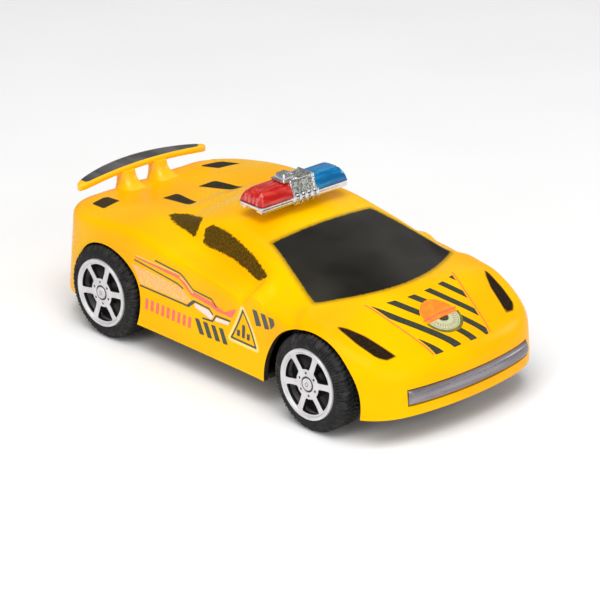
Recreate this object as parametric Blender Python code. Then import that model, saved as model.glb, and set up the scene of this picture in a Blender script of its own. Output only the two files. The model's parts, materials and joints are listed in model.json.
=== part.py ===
"""Pull back toy car: a thin body shell over a black chassis, with a spring motor on the rear axle.

Sizes are in millimetres and become metres when a mesh is made. The car's front is -Y, its left is +X
and the ground is Z = 0. The design frame has Y = 0 midway between the axles; the empty "car" moves all
of it so that the origin lies under the middle of the whole car.
"""

import math

import bmesh
import bpy
import numpy as np
from mathutils import Vector

MM = 0.001
CAR_SHIFT_Y = -1.1  # puts the middle of the car's length at the origin
GAP = 0.3  # clearance between neighbouring pieces

# Wheels
WHEEL_Y = 46.1
WHEEL_Z = 15.0
TYRE_RADIUS = 15.0
TYRE_INNER_X = 27.6
HUB_FACE_X = 38.8
RIM_RADIUS = 10.9
AXLE_RADIUS = 1.0
AXLE_HALF = 37.0
WINDOW_COUNT = 6
WINDOW_PHASE = math.radians(30)

# Body
SILL_Z = 9.0
WALL = 1.8
NOSE_Y = -75.2
TAIL_Y = 75.8
ARCHES = {  # centre y, centre z, radius
    "front": (-45.6, 11.6, 19.3),
    "rear": (45.6, 14.8, 16.0),
}
STRIP_Z = 14.7
STRIP_HEIGHT = 4.6
STRIP_HALF = 25.4
STRIP_X = 2.2  # the strip sits a little to the car's left
GROOVE_DEPTH = 1.0
POST_X = 6.6  # wing posts
POST_Y = 69.3
PEG_RADIUS = 1.2
BAR_PEG_X = 3.0
BODY_SCREWS = {
    "front_left": (12.0, -62.0),
    "front_right": (-12.0, -62.0),
    "rear_left": (17.0, 64.0),
    "rear_right": (-17.0, 64.0),
}

# Mesh of the body: rows in each end's fan, spans between the axles, columns up a side and over the top
BODY_GRID = (8, 16, 5, 14)
RIM_GRID = (7, 10, 4, 10)
FAN_SPREAD = 0.9
EDGE_ANGLE_LIMIT = 0.75

# Chassis
FLANGE_INSET = 2.3  # the flange lies inside the body's wall, a little above its sill
FLANGE_LOW = 9.3
FLANGE_HIGH = 10.7
TRAY_INSET = 5.2  # the plate hangs lower than the flange, as a shallow tray
TRAY_WALL = 1.4
PLATE_LOW = 7.3
PLATE_HIGH = 8.7
CHASSIS_TOP = 12.0  # above the flange
WELL_X = 24.8
WELL_WALL = 1.4
SADDLE_X = (14.0, 20.0)
PAD_X = 9.0  # the flat pad under the middle of the chassis, its lowest face
PAD_Y = (-32.5, -12.5)
PAD_LOW = 5.6
SCREW_POINT = 0.6

# Motor: every shaft runs along X, centres are (y, z)
MODULE = 0.5
PINION_TEETH = 12
TRANSFER_TEETH = 30
SPRING_TEETH = 36
AXLE_AT = (WHEEL_Y, WHEEL_Z)
TRANSFER_AT = (WHEEL_Y - 8.68, WHEEL_Z + 6.08)
SPRING_AT = (TRANSFER_AT[0] - 11.5, TRANSFER_AT[1] - 3.76)
CASE_HALF = 11.5
CASE_WALL = 1.2
CASE_ROUNDS = ((*AXLE_AT, 6.0), (*TRANSFER_AT, 9.6), (*SPRING_AT, 11.0))
FRONT_EAR = (4.5, 11.5)
REAR_EAR = (-4.5, 55.8)

# Colours
YELLOW = (1.0, 0.56, 0.0)
BLACK = (0.02, 0.02, 0.022)


def clear_scene():
    for obj in list(bpy.data.objects):
        bpy.data.objects.remove(obj, do_unlink=True)


def material(name, colour, roughness, metallic=0.0):
    made = bpy.data.materials.get(name) or bpy.data.materials.new(name)
    made.use_nodes = True
    shader = made.node_tree.nodes["Principled BSDF"]
    shader.inputs["Base Color"].default_value = (*colour, 1.0)
    shader.inputs["Roughness"].default_value = roughness
    shader.inputs["Metallic"].default_value = metallic
    return made


# ---------------------------------------------------------------- plain solids: (points, faces) in mm


def extrude(outline, low, high, axis):
    """A closed prism. The outline holds (x, y) for axis Z and (y, z) for axis X."""
    if axis == "Z":
        points = [(a, b, level) for level in (low, high) for a, b in outline]
    else:
        points = [(level, a, b) for level in (low, high) for a, b in outline]
    count = len(outline)
    sides = [(i, (i + 1) % count, count + (i + 1) % count, count + i) for i in range(count)]
    return points, [*sides, tuple(range(count)), tuple(range(count, 2 * count))]


def box(x, y, z):
    corners = [(x[0], y[0]), (x[1], y[0]), (x[1], y[1]), (x[0], y[1])]
    return extrude(corners, z[0], z[1], "Z")


def circle(centre, radius, count):
    """A polygon with a flat side at the bottom when its count is even."""
    turns = [2 * math.pi * (i + 0.5) / count - math.pi / 2 for i in range(count)]
    return [(centre[0] + radius * math.cos(t), centre[1] + radius * math.sin(t)) for t in turns]


def rod(axis, centre, radius, low, high, count=16):
    return extrude(circle(centre, radius, count), low, high, axis)


def lathe_x(profile, count):
    """Turns a closed run of (x, radius) points about the X axis. A radius of 0 is a pole."""
    points, rings = [], []
    for x, radius in profile:
        if radius == 0:
            rings.append([len(points)] * count)
            points.append((x, 0.0, 0.0))
        else:
            rings.append(list(range(len(points), len(points) + count)))
            points += [(x, y, z) for y, z in circle((0, 0), radius, count)]
    faces = []
    closed = profile[0][1] > 0
    last = len(profile) if closed else len(profile) - 1
    for i in range(last):
        ring, after = rings[i], rings[(i + 1) % len(rings)]
        for j in range(count):
            k = (j + 1) % count
            corners = dict.fromkeys((ring[j], ring[k], after[k], after[j]))
            faces.append(tuple(corners))
    return points, faces


def frustum(low_box, high_box):
    """A block between two rectangles. Each is (x0, x1, y0, y1, z)."""
    points = []
    for x0, x1, y0, y1, z in (low_box, high_box):
        points += [(x0, y0, z), (x1, y0, z), (x1, y1, z), (x0, y1, z)]
    sides = [(i, (i + 1) % 4, 4 + (i + 1) % 4, 4 + i) for i in range(4)]
    return points, [*sides, (0, 1, 2, 3), (4, 5, 6, 7)]


# ---------------------------------------------------------------- objects


def mesh_of(name, shape, smooth_angle):
    points, faces = shape
    mesh = bpy.data.meshes.new(name)
    mesh.from_pydata([Vector(p) * MM for p in points], [], faces)
    work = bmesh.new()
    work.from_mesh(mesh)
    bmesh.ops.remove_doubles(work, verts=work.verts, dist=1e-6)
    bmesh.ops.dissolve_degenerate(work, edges=work.edges, dist=1e-7)
    bmesh.ops.recalc_face_normals(work, faces=work.faces)
    work.to_mesh(mesh)
    work.free()
    mesh.shade_smooth()
    mesh.set_sharp_from_angle(angle=math.radians(smooth_angle))
    return mesh


def place(name, mesh, skin, parent, at=(0, 0, 0)):
    obj = bpy.data.objects.new(name, mesh)
    bpy.context.scene.collection.objects.link(obj)
    if skin and not mesh.materials:
        mesh.materials.append(skin)
    obj.parent = parent
    obj.location = Vector(at) * MM
    return obj


def solid(name, shape, skin, parent, at=(0, 0, 0), smooth_angle=35):
    return place(name, mesh_of(name, shape, smooth_angle), skin, parent, at)


def helper(name, shape, parent, at=(0, 0, 0)):
    """A cutter or an added block: it shapes another object and isn't a piece itself."""
    made = solid("shape_" + name, shape, None, parent, at)
    made.hide_render = True
    made.display_type = "WIRE"
    return made


def combine(target, other, operation):
    step = target.modifiers.new(other.name, "BOOLEAN")
    step.operation = operation
    step.solver = "EXACT"
    step.object = other


def cut(target, name, shape, parent, at=(0, 0, 0)):
    combine(target, helper(name, shape, parent, at), "DIFFERENCE")


def add(target, name, shape, parent, at=(0, 0, 0)):
    combine(target, helper(name, shape, parent, at), "UNION")


def empty(name, at, parent=None):
    made = bpy.data.objects.new(name, None)
    bpy.context.scene.collection.objects.link(made)
    made.parent = parent
    made.location = Vector(at) * MM
    return made


# ---------------------------------------------------------------- the body's surface

# Heights and widths along the car, as (y, value) points of smooth curves.
CENTRE_LINE = [(-78, 21.0), (-71, 24.9), (-60, 30.8), (-50, 35.6), (-44, 37.2), (-28, 41.4), (-12, 45.1),
               (0, 47.4), (8, 47.9), (17, 46.2), (27, 42.3), (36, 38.8), (48, 34.5), (78, 28.0)]
CROWN = [(-78, 0.0032), (-50, 0.0032), (-38, 0.0042), (-12, 0.0025), (2, 0.0028), (16, 0.005),
         (32, 0.006), (78, 0.006)]
SHOULDER = [(-78, 18.0), (-60, 27.0), (-50, 29.5), (-36, 32.3), (-26, 34.6), (-19.5, 36.2), (-16.5, 32.9),
            (-13, 33.0), (-1, 34.3), (13, 36.2), (25, 38.2), (36, 39.3), (44, 38.7), (56, 37.0),
            (66, 35.6), (78, 34.2)]
CABIN_WIDTH = [(-78, 80.0), (-52, 80.0), (-44, 44.0), (-38, 31.5), (-30, 29.3), (-18, 28.6), (5, 28.2),
               (20, 26.6), (32, 24.0), (42, 21.5), (78, 20.0)]


def curve(t, points):
    """A smooth curve through (t, value) points."""
    knots, values = np.array(points, float).T
    slopes = np.gradient(values, knots)
    i = np.clip(np.searchsorted(knots, t) - 1, 0, len(knots) - 2)
    width = knots[i + 1] - knots[i]
    s = np.clip((t - knots[i]) / width, 0, 1)
    start = (1 + 2 * s) * (1 - s) ** 2 * values[i] + s * (1 - s) ** 2 * width * slopes[i]
    end = s * s * (3 - 2 * s) * values[i + 1] + s * s * (s - 1) * width * slopes[i + 1]
    return start + end


def ease(t, start, end):
    s = np.clip((t - start) / (end - start), 0, 1)
    return s * s * (3 - 2 * s)


def bump(t, centre, spread):
    return np.exp(-(((t - centre) / spread) ** 2))


def round_max(a, b, size):
    """The larger of two fields, with the corner where they meet rounded off."""
    overlap = np.clip(1 - np.abs(a - b) / size, 0, 1)
    return np.maximum(a, b) + overlap**2 * size / 4


def round_min(a, b, size):
    return -round_max(-a, -b, size)


def nose_y(x):
    """The front face in plan at the height of the strip: bowed, with round corners."""
    across = np.abs(x)
    return NOSE_Y + 2.4 * (across / 24) ** 2 + 8.0 * (across / 37) ** 8


def body_fields(x, y, z):
    """Two fields, negative inside: one for the body's top, one for its upright walls."""
    across = np.abs(x)
    roof = (z - curve(y, CENTRE_LINE) + curve(y, CROWN) * x * x) * 0.95
    window = (across - curve(y, CABIN_WIDTH) + 0.5 * (z - 37)) * 0.89
    cabin = round_max(roof, window, 3.0)
    deck_valley = 3.4 * ease(y, 28, 38) * bump(x, 0, 17)
    step_drop = 2.0 * ease(across, 28, 36) * bump(y, -21, 9)
    shoulder = z - curve(y, SHOULDER) - 0.1 * (35.3 - across) + deck_valley + step_drop
    top = round_min(cabin, shoulder, 2.5)

    arch_flare = 1.3 * bump(y, -46, 15) + 0.5 * bump(y, 46, 20)
    waist = 1.3 * bump(z, 23, 9) * (1 - 0.6 * bump(y, -46, 18))
    flank = across - (36.9 + arch_flare - waist - 0.1 * np.clip(z - 34, 0, 10))

    front_slope = 4.8 * across / 24**2 + 64 / 37 * (across / 37) ** 7
    front = (nose_y(x) + 0.1 * np.clip(z - 12, 0, 20) - y) / np.sqrt(1 + front_slope**2)
    rear_slope = 2.8 * across / 24**2 + 88 / 36 * (across / 36) ** 7
    tail = TAIL_Y - 1.4 * (across / 24) ** 2 - 11.0 * (across / 36) ** 8 - 0.11 * (z - SILL_Z)
    rear = (y - tail) / np.sqrt(1 + rear_slope**2)
    walls = round_max(flank, round_max(front, rear, 1.0), 3.0)
    return top, walls


def body_field(x, y, z):
    """Negative inside the body, 0 on its outer surface, about the distance in mm near it."""
    top, walls = body_fields(x, y, z)
    edge_round = 2.2 + 3.0 * ease(y, -24, -44)
    return round_max(top, walls, edge_round)


def hits(start, ray, level):
    """Where each ray leaves the body_field surface at a level."""
    near = np.zeros(start.shape[:-1])
    far = np.full(near.shape, 60.0)
    for _ in range(30):
        middle = (near + far) / 2
        spot = start + ray * middle[..., None]
        inside = body_field(spot[..., 0], spot[..., 1], spot[..., 2]) < level
        near = np.where(inside, middle, near)
        far = np.where(inside, far, middle)
    return start + ray * near[..., None]


def fan_rays(rows, angle):
    """Starts and directions for rows of (y, side, turn) at one angle per row and column."""
    start = np.zeros((*angle.shape, 3))
    ray = np.zeros_like(start)
    y, side, turn = (np.array(part)[:, None] for part in zip(*rows, strict=True))
    start[..., 1] = y
    start[..., 2] = SILL_Z
    ray[..., 0] = np.cos(angle)
    ray[..., 1] = side * np.sin(angle) * np.cos(turn)
    ray[..., 2] = np.sin(angle) * np.sin(turn)
    return start, ray


def edge_angles(rows):
    """For each row, the angle at which its section turns from the side wall to the top."""
    low = np.full((len(rows), 1), 0.05)
    high = np.full((len(rows), 1), math.pi / 2)
    for _ in range(14):
        middle = (low + high) / 2
        spot = hits(*fan_rays(rows, middle), 0.0)
        top, walls = body_fields(spot[..., 0], spot[..., 1], spot[..., 2])
        low = np.where(top < walls, middle, low)
        high = np.where(top < walls, high, middle)
    return np.minimum(low, EDGE_ANGLE_LIMIT)


def body_grid(level, grid):
    """Points of the body_field surface at a level, in rows along the car and columns across it.

    Each point lies on a ray from the line between the wheel stations at sill height. Between them the
    rows are upright sections, and past them they fan out until they lie flat at the sill. One column on
    each side follows the body's upper edge.
    """
    fan, spans, side_columns, top_columns = grid
    fan_turns = [math.pi / 2 * (i / fan) ** FAN_SPREAD for i in range(fan)]
    rows = [(-WHEEL_Y, -1.0, turn) for turn in fan_turns]
    rows += [(-WHEEL_Y + 2 * WHEEL_Y * i / spans, 0.0, math.pi / 2) for i in range(spans + 1)]
    rows += [(WHEEL_Y, 1.0, turn) for turn in reversed(fan_turns)]
    edge = edge_angles(rows)
    side = edge * np.linspace(0, 1, side_columns + 1)[:-1]
    top = edge + (math.pi - 2 * edge) * np.linspace(0, 1, top_columns + 1)
    angle = np.concatenate([side, top, math.pi - side[:, ::-1]], axis=1)
    return hits(*fan_rays(rows, angle), level)


def grid_rim(grid):
    """The loop of points where the grid meets the sill."""
    loop = [*grid[0], *grid[1:-1, -1], *grid[-1][::-1], *grid[1:-1, 0][::-1]]
    rim = []
    for point in loop:
        if not rim or np.linalg.norm(point - rim[-1]) > 1e-4:
            rim.append(point)
    if np.linalg.norm(rim[0] - rim[-1]) < 1e-4:
        rim.pop()
    return rim


def grid_solid(grid, floor_z):
    """The grid closed by a flat floor, which may lie below the sill."""
    points = [tuple(p) for p in grid.reshape(-1, 3)]
    rows, columns = grid.shape[:2]
    faces = []
    for i in range(rows - 1):
        for j in range(columns - 1):
            k = i * columns + j
            faces.append((k, k + 1, k + columns + 1, k + columns))
    rim = grid_rim(grid)
    first = len(points)
    points += [tuple(p) for p in rim]
    if floor_z == SILL_Z:
        faces.append(tuple(range(first, first + len(rim))))
        return points, faces
    points += [(p[0], p[1], floor_z) for p in rim]
    count = len(rim)
    for i in range(count):
        j = (i + 1) % count
        faces.append((first + i, first + j, first + count + j, first + count + i))
    faces.append(tuple(range(first + count, first + 2 * count)))
    return points, faces




def nose_bar(half_length, depth_back, depth_front, height, count):
    """A bar that follows the nose, from depth_back behind its face to depth_front behind it."""
    stations = STRIP_X + np.linspace(-half_length, half_length, count)
    shoulder = 0.8 * depth_back + 0.2 * depth_front
    middle = 0.5 * (depth_back + depth_front)
    section = [(depth_back, -0.5), (shoulder, -0.5)]
    rounds = 5
    for i in range(rounds):
        turn = math.pi * (i + 0.5) / rounds
        section.append((middle + 0.5 * (depth_front - depth_back) * math.sin(turn), -0.5 * math.cos(turn)))
    section += [(shoulder, 0.5), (depth_back, 0.5)]
    points = []
    for x in stations:
        face = float(nose_y(x))
        points += [(x, face + depth, STRIP_Z + height * rise) for depth, rise in section]
    size = len(section)
    faces = [tuple(range(size)), tuple(range(size * (count - 1), size * count))]
    for i in range(count - 1):
        for j in range(size):
            k = (j + 1) % size
            faces.append((i * size + j, i * size + k, (i + 1) * size + k, (i + 1) * size + j))
    return points, faces


def nose_slot(half_length, depth, height, count):
    """The groove's cutter: a plain band across the nose that reaches past its face."""
    stations = STRIP_X + np.linspace(-half_length, half_length, count)
    inner = [(x, float(nose_y(x)) + depth + 0.3) for x in stations]
    outer = [(x, float(nose_y(x)) - 3.0) for x in reversed(stations)]
    return extrude(inner + outer, STRIP_Z - height / 2, STRIP_Z + height / 2, "Z")


def build_body(car):
    skin = material("yellow_body", YELLOW, 0.28)
    body = solid("body_shell", grid_solid(body_grid(0.0, BODY_GRID), SILL_Z), skin, car, smooth_angle=40)
    cavity = helper("cavity", grid_solid(body_grid(-WALL, BODY_GRID), SILL_Z - 3), car)
    for corner, (x, y) in BODY_SCREWS.items():
        cut(cavity, "boss_" + corner, rod("Z", (x, y), 2.9, SILL_Z - 5, 50.0), car)
    combine(body, cavity, "DIFFERENCE")
    for corner, (x, y) in BODY_SCREWS.items():
        cut(body, "bore_" + corner, rod("Z", (x, y), 1.4, SILL_Z - 1, 20.0, 12), car)
    for end, (arch_y, arch_z, radius) in ARCHES.items():
        wheel_y = math.copysign(WHEEL_Y, arch_y)
        for side, name in ((1, "left"), (-1, "right")):
            span = sorted((side * 33.0, side * 45.0))
            cut(body, f"arch_{end}_{name}", rod("X", (arch_y, arch_z), radius, *span, 40), car)
            span = sorted((side * (TYRE_INNER_X - 0.8), side * 36.6))
            cut(body, f"well_{end}_{name}", rod("X", (wheel_y, WHEEL_Z), TYRE_RADIUS + 0.4, *span, 40), car)
    cut(body, "groove", nose_slot(STRIP_HALF + GAP, GROOVE_DEPTH, STRIP_HEIGHT + 2 * GAP, 17), car)
    for side in (-1, 1):
        hole = rod("Z", (side * POST_X, POST_Y), PEG_RADIUS + GAP, 28.0, 45.0, 12)
        cut(body, f"wing_socket_{side + 1}", hole, car)
        hole = rod("Z", (side * BAR_PEG_X, 0.0), PEG_RADIUS + GAP, 40.0, 55.0, 12)
        cut(body, f"bar_socket_{side + 1}", hole, car)


def wing_outline(half_span):
    """The blade in plan: both edges bow to the rear, the rear one more, and the tips are round."""
    front, rear = [], []
    count = 12
    for i in range(count + 1):
        x = half_span * math.sin(math.pi * (i / count - 0.5))
        bow = 1 - (x / half_span) ** 2
        tip = math.sqrt(max(0.0, 1 - (abs(x) / half_span) ** 16))
        middle = 70.3 + 3.3 * bow
        half_chord = (1.9 + 1.9 * bow) * tip
        front.append((x, middle - half_chord))
        rear.append((x, middle + half_chord))
    return front, rear


def wing_height(x):
    return 40.7 + 1.3 * (1 - (x / 26.0) ** 2)


def build_wing(car):
    skin = material("yellow_body", YELLOW, 0.28)
    front, rear = wing_outline(26.4)
    outline = front[:-1] + rear[::-1][:-1]
    points = [(x, y, wing_height(x) - 2.2 + 0.03 * (y - 68)) for x, y in outline]
    points += [(x, y, wing_height(x)) for x, y in outline]
    count = len(outline)
    faces = [(i, (i + 1) % count, count + (i + 1) % count, count + i) for i in range(count)]
    across = len(front) - 1
    for layer in (0, count):
        for i in range(across):
            near = (layer + i, layer + i + 1)
            far = (layer + (count - i - 1) % count, layer + (count - i) % count)
            faces.append(tuple(dict.fromkeys((near[0], near[1], far[0], far[1]))))
    wing = solid("rear_wing", (points, faces), skin, car)
    for side in (-1, 1):
        x = side * POST_X
        foot = (x - 3.2, x + 3.2, POST_Y - 3.2, POST_Y + 2.6, 30.0)
        head = (x - 2.6, x + 2.6, POST_Y - 1.0, POST_Y + 4.4, 40.6)
        add(wing, f"wing_post_{side + 1}", frustum(foot, head), car)
    clearance = helper("wing_clearance", grid_solid(body_grid(GAP, BODY_GRID), SILL_Z), car)
    combine(wing, clearance, "DIFFERENCE")
    for side in (-1, 1):
        peg = rod("Z", (side * POST_X, POST_Y), PEG_RADIUS, 31.5, 38.0, 12)
        add(wing, f"wing_peg_{side + 1}", peg, car)


def build_strip(car):
    skin = material("grey_strip", (0.36, 0.34, 0.36), 0.3, 0.7)
    shape = nose_bar(STRIP_HALF, GROOVE_DEPTH, -0.9, STRIP_HEIGHT, 17)
    solid("front_lamp_strip", shape, skin, car)


# ---------------------------------------------------------------- light bar

BAR_TRAY = {"x": 18.0, "y": (-5.2, 5.3), "z": (50.0, 52.0)}
LENS_TOP = 56.2


def build_lightbar(car):
    chrome = material("chrome_plastic", (0.75, 0.75, 0.77), 0.12, 1.0)
    tray = BAR_TRAY
    base = solid("lightbar_base", box((-tray["x"], tray["x"]), tray["y"], tray["z"]), chrome, car)
    add(base, "bar_foot", box((-5.0, 5.0), (-3.2, 3.2), (48.2, 50.5)), car)
    for side in (-1, 1):
        peg = rod("Z", (side * BAR_PEG_X, 0.0), PEG_RADIUS, 44.0, 49.0, 12)
        add(base, f"bar_peg_{side + 1}", peg, car)

    floor = tray["z"][1] + GAP
    for name, side, colour in (("red_lens", -1, (0.75, 0.03, 0.03)), ("blue_lens", 1, (0.02, 0.2, 0.6))):
        skin = material(name, colour, 0.1)
        outer_low = (*sorted((side * 4.9, side * 17.4)), -4.9, 5.0, floor)
        outer_high = (*sorted((side * 4.9, side * 15.6)), -2.7, 2.8, LENS_TOP)
        inner_low = (*sorted((side * 5.9, side * 16.2)), -3.7, 3.8, floor - 1)
        inner_high = (*sorted((side * 5.9, side * 14.8)), -2.0, 2.1, LENS_TOP - 1)
        lens = solid(name, frustum(outer_low, outer_high), skin, car)
        cut(lens, name + "_hollow", frustum(inner_low, inner_high), car)

    block = frustum((-4.6, 4.6, -5.0, 5.1, floor), (-4.6, 4.6, -3.0, 3.1, 57.0))
    cover = solid("lightbar_centre_cover", block, chrome, car)
    add(cover, "raised_brim", box((-8.2, -2.4), (-2.6, 3.0), (LENS_TOP + GAP, 57.3)), car)
    add(cover, "raised_box", frustum((-7.6, -3.0, -2.0, 2.4, 57.0), (-7.2, -3.4, -1.6, 2.0, 59.0)), car)


# ---------------------------------------------------------------- wheels


def tyre_shape(count):
    """The tread's flats lie at TYRE_RADIUS, so the car stands on them."""
    tread = TYRE_RADIUS / math.cos(math.pi / count)
    profile = [(38.0, 11.2), (38.3, 12.4), (37.7, 14.1), (36.3, tread), (29.2, tread), (28.0, 14.3),
               (TYRE_INNER_X, 12.8), (28.1, 11.2)]
    return lathe_x(profile, count)


def wheel_mesh():
    """The wheel: a barrel, a face with six windows, and a blind bore for the axle."""
    count = 30
    bore = AXLE_RADIUS + GAP
    profile = [(38.5, 0), (38.5, 2.2), (37.9, 2.8), (37.9, 4.3), (37.9, 9.2), (HUB_FACE_X, 9.8),
               (HUB_FACE_X, RIM_RADIUS), (28.4, RIM_RADIUS), (28.4, 10.1), (36.4, 9.2), (36.4, 4.3),
               (36.4, 3.2), (28.8, 3.2), (28.8, bore), (37.3, bore), (37.3, 0)]
    mesh = mesh_of("wheel", lathe_x(profile, count), 35)
    work = bmesh.new()
    work.from_mesh(mesh)
    pitch = 2 * math.pi / WINDOW_COUNT
    half_window = math.radians(18)
    for i in range(WINDOW_COUNT):
        middle = WINDOW_PHASE + i * pitch
        opened = []
        for face in work.faces:
            centre = face.calc_center_median() / MM
            turn = (math.atan2(centre.z, centre.y) - middle + math.pi) % (2 * math.pi) - math.pi
            radius = math.hypot(centre.y, centre.z)
            on_plate = centre.x > 36.3 and 4.3 < radius < 9.2 and abs(face.normal.x) > 0.9
            if on_plate and abs(turn) < half_window:
                opened.append(face)
        rims = [edge for edge in work.edges if sum(face in opened for face in edge.link_faces) == 1]
        bmesh.ops.delete(work, geom=opened, context="FACES_ONLY")
        bmesh.ops.bridge_loops(work, edges=rims)
    bmesh.ops.delete(work, geom=[e for e in work.edges if not e.link_faces], context="EDGES")
    bmesh.ops.recalc_face_normals(work, faces=work.faces)
    work.to_mesh(mesh)
    work.free()
    mesh.shade_smooth()
    mesh.set_sharp_from_angle(angle=math.radians(35))
    return mesh


def build_wheels(front_axis, rear_axis):
    rubber = material("tyre_rubber", (0.03, 0.03, 0.032), 0.7)
    silver = material("wheel_silver", (0.75, 0.75, 0.77), 0.35)
    steel = material("steel", (0.6, 0.6, 0.62), 0.3, 1.0)
    tyre = mesh_of("tyre", tyre_shape(32), 50)
    wheel = wheel_mesh()
    for end, axis in (("front", front_axis), ("rear", rear_axis)):
        for side, turn in (("left", 0.0), ("right", math.pi)):
            for piece, mesh, skin in (("tyre", tyre, rubber), ("wheel", wheel, silver)):
                made = place(f"{piece}_{end}_{side}", mesh, skin, axis)
                made.rotation_euler.z = turn
        solid(f"{end}_axle", rod("X", (0, 0), AXLE_RADIUS, -AXLE_HALF, AXLE_HALF), steel, axis)


# ---------------------------------------------------------------- chassis


def inset_rim(inset):
    """The body's outline at the sill, moved in by inset."""
    return [(p[0], p[1]) for p in grid_rim(body_grid(-inset, RIM_GRID))]


def build_chassis(car):
    skin = material("black_chassis", BLACK, 0.5)
    chassis = solid("chassis", extrude(inset_rim(FLANGE_INSET), FLANGE_LOW, FLANGE_HIGH, "Z"), skin, car)
    tray = extrude(inset_rim(TRAY_INSET), PLATE_LOW, FLANGE_HIGH - 0.3, "Z")
    add(chassis, "tray", tray, car)
    hollow = extrude(inset_rim(TRAY_INSET + TRAY_WALL), PLATE_HIGH, CHASSIS_TOP, "Z")
    cut(chassis, "tray_hollow", hollow, car)
    outer_x = WELL_X + WELL_WALL
    notches = {"front": (-64.7, -26.5), "rear": (30.2, 61.0)}
    well_tops = {
        "front": [(-27.2, 28.5), (-55.0, 26.5), (-64.0, 21.0)],
        "rear": [(61.0, 30.0), (30.2, 33.0)],
    }
    slot = AXLE_RADIUS + GAP
    for side, name in ((1, "left"), (-1, "right")):
        for end, span in notches.items():
            notch = box(sorted((side * outer_x, side * 45.0)), span, (PLATE_LOW - 2, CHASSIS_TOP))
            cut(chassis, f"notch_{end}_{name}", notch, car)
            tops = well_tops[end]
            outline = [(tops[-1][0], PLATE_HIGH - 0.5), (tops[0][0], PLATE_HIGH - 0.5), *tops]
            wall = extrude(outline, *sorted((side * WELL_X, side * outer_x)), "X")
            add(chassis, f"well_{end}_{name}", wall, car)
        saddle_span = sorted((side * SADDLE_X[0], side * SADDLE_X[1]))
        saddle = box(saddle_span, (-50.0, -42.2), (PLATE_HIGH - 0.5, 17.3))
        add(chassis, f"saddle_{name}", saddle, car)
        pin = rod("Z", (side * 17.0, -48.6), 0.7, 17.0, 19.8, 12)
        add(chassis, f"stake_{name}", pin, car)
    for end, y in (("front", -WHEEL_Y), ("rear", WHEEL_Y)):
        axle_slot = box((-30.0, 30.0), (y - slot, y + slot), (WHEEL_Z - slot, 36.0))
        cut(chassis, f"axle_slot_{end}", axle_slot, car)
    cut(chassis, "motor_bay", box((-12.0, 12.0), (17.8, 46.5), (PLATE_LOW - 1, PLATE_HIGH + 1)), car)
    add(chassis, "pad", box((-PAD_X, PAD_X), PAD_Y, (PAD_LOW, PLATE_HIGH - 0.5)), car)
    holes = [*BODY_SCREWS.values(), FRONT_EAR, REAR_EAR]
    for i, centre in enumerate(holes):
        cut(chassis, f"chassis_hole_{i}", rod("Z", centre, 1.5, PLATE_LOW - 1, PLATE_HIGH + 1, 12), car)


def build_axle_retainer(car):
    skin = material("black_chassis", BLACK, 0.5)
    plate = box((-20.0, 20.0), (-50.0, -42.2), (17.6, 19.2))
    retainer = solid("front_axle_retainer", plate, skin, car)
    for side, name in ((1, "left"), (-1, "right")):
        tongue = box(sorted((side * 14.5, side * 19.5)), (-WHEEL_Y - 1.0, -WHEEL_Y + 1.0), (16.3, 18.0))
        add(retainer, f"tongue_{name}", tongue, car)
        cut(retainer, f"stake_hole_{name}", rod("Z", (side * 17.0, -48.6), 1.0, 17.0, 20.0, 12), car)


def screw_shape(shank, head, head_z, thread_z, top_z):
    """A pan-head screw about Z: its head runs from head_z to thread_z and its pointed shank on to top_z."""
    point_start = top_z - math.copysign(SCREW_POINT, top_z - thread_z)
    head_edge = head_z + 0.35 * (thread_z - head_z)
    profile = [(head_z, 0), (head_z, head * 0.8), (head_edge, head), (thread_z, head), (thread_z, shank),
               (point_start, shank), (top_z, 0)]
    points, faces = lathe_x(profile, 14)
    return [(y, z, x) for x, y, z in points], faces


def build_screws(car):
    steel = material("steel", (0.6, 0.6, 0.62), 0.3, 1.0)
    for corner, (x, y) in BODY_SCREWS.items():
        solid(f"body_screw_{corner}", screw_shape(1.1, 2.4, 5.8, 7.0, 18.0), steel, car, (x, y, 0))
    for name, (x, y) in (("motor_screw_front", FRONT_EAR), ("motor_screw_rear", REAR_EAR)):
        solid(name, screw_shape(1.1, 2.2, 12.5, 11.3, 7.4), steel, car, (x, y, 0))


# ---------------------------------------------------------------- motor


def gear_outline(teeth, phase):
    """A spur gear's outline with straight-sided teeth and plenty of backlash, first tooth at phase."""
    pitch_radius = MODULE * teeth / 2
    tip, root = pitch_radius + 0.43, pitch_radius - 0.62
    pitch = 2 * math.pi / teeth
    half_tip = 0.17 * MODULE * math.pi / tip
    half_root = 0.27 * MODULE * math.pi / root
    outline = []
    for i in range(teeth):
        middle = phase + i * pitch
        for radius, turn in ((root, -half_root), (tip, -half_tip), (tip, half_tip), (root, half_root)):
            angle = middle + turn
            outline.append((radius * math.cos(angle), radius * math.sin(angle)))
    return outline


def direction(start, end):
    return math.atan2(end[1] - start[1], end[0] - start[0])


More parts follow.
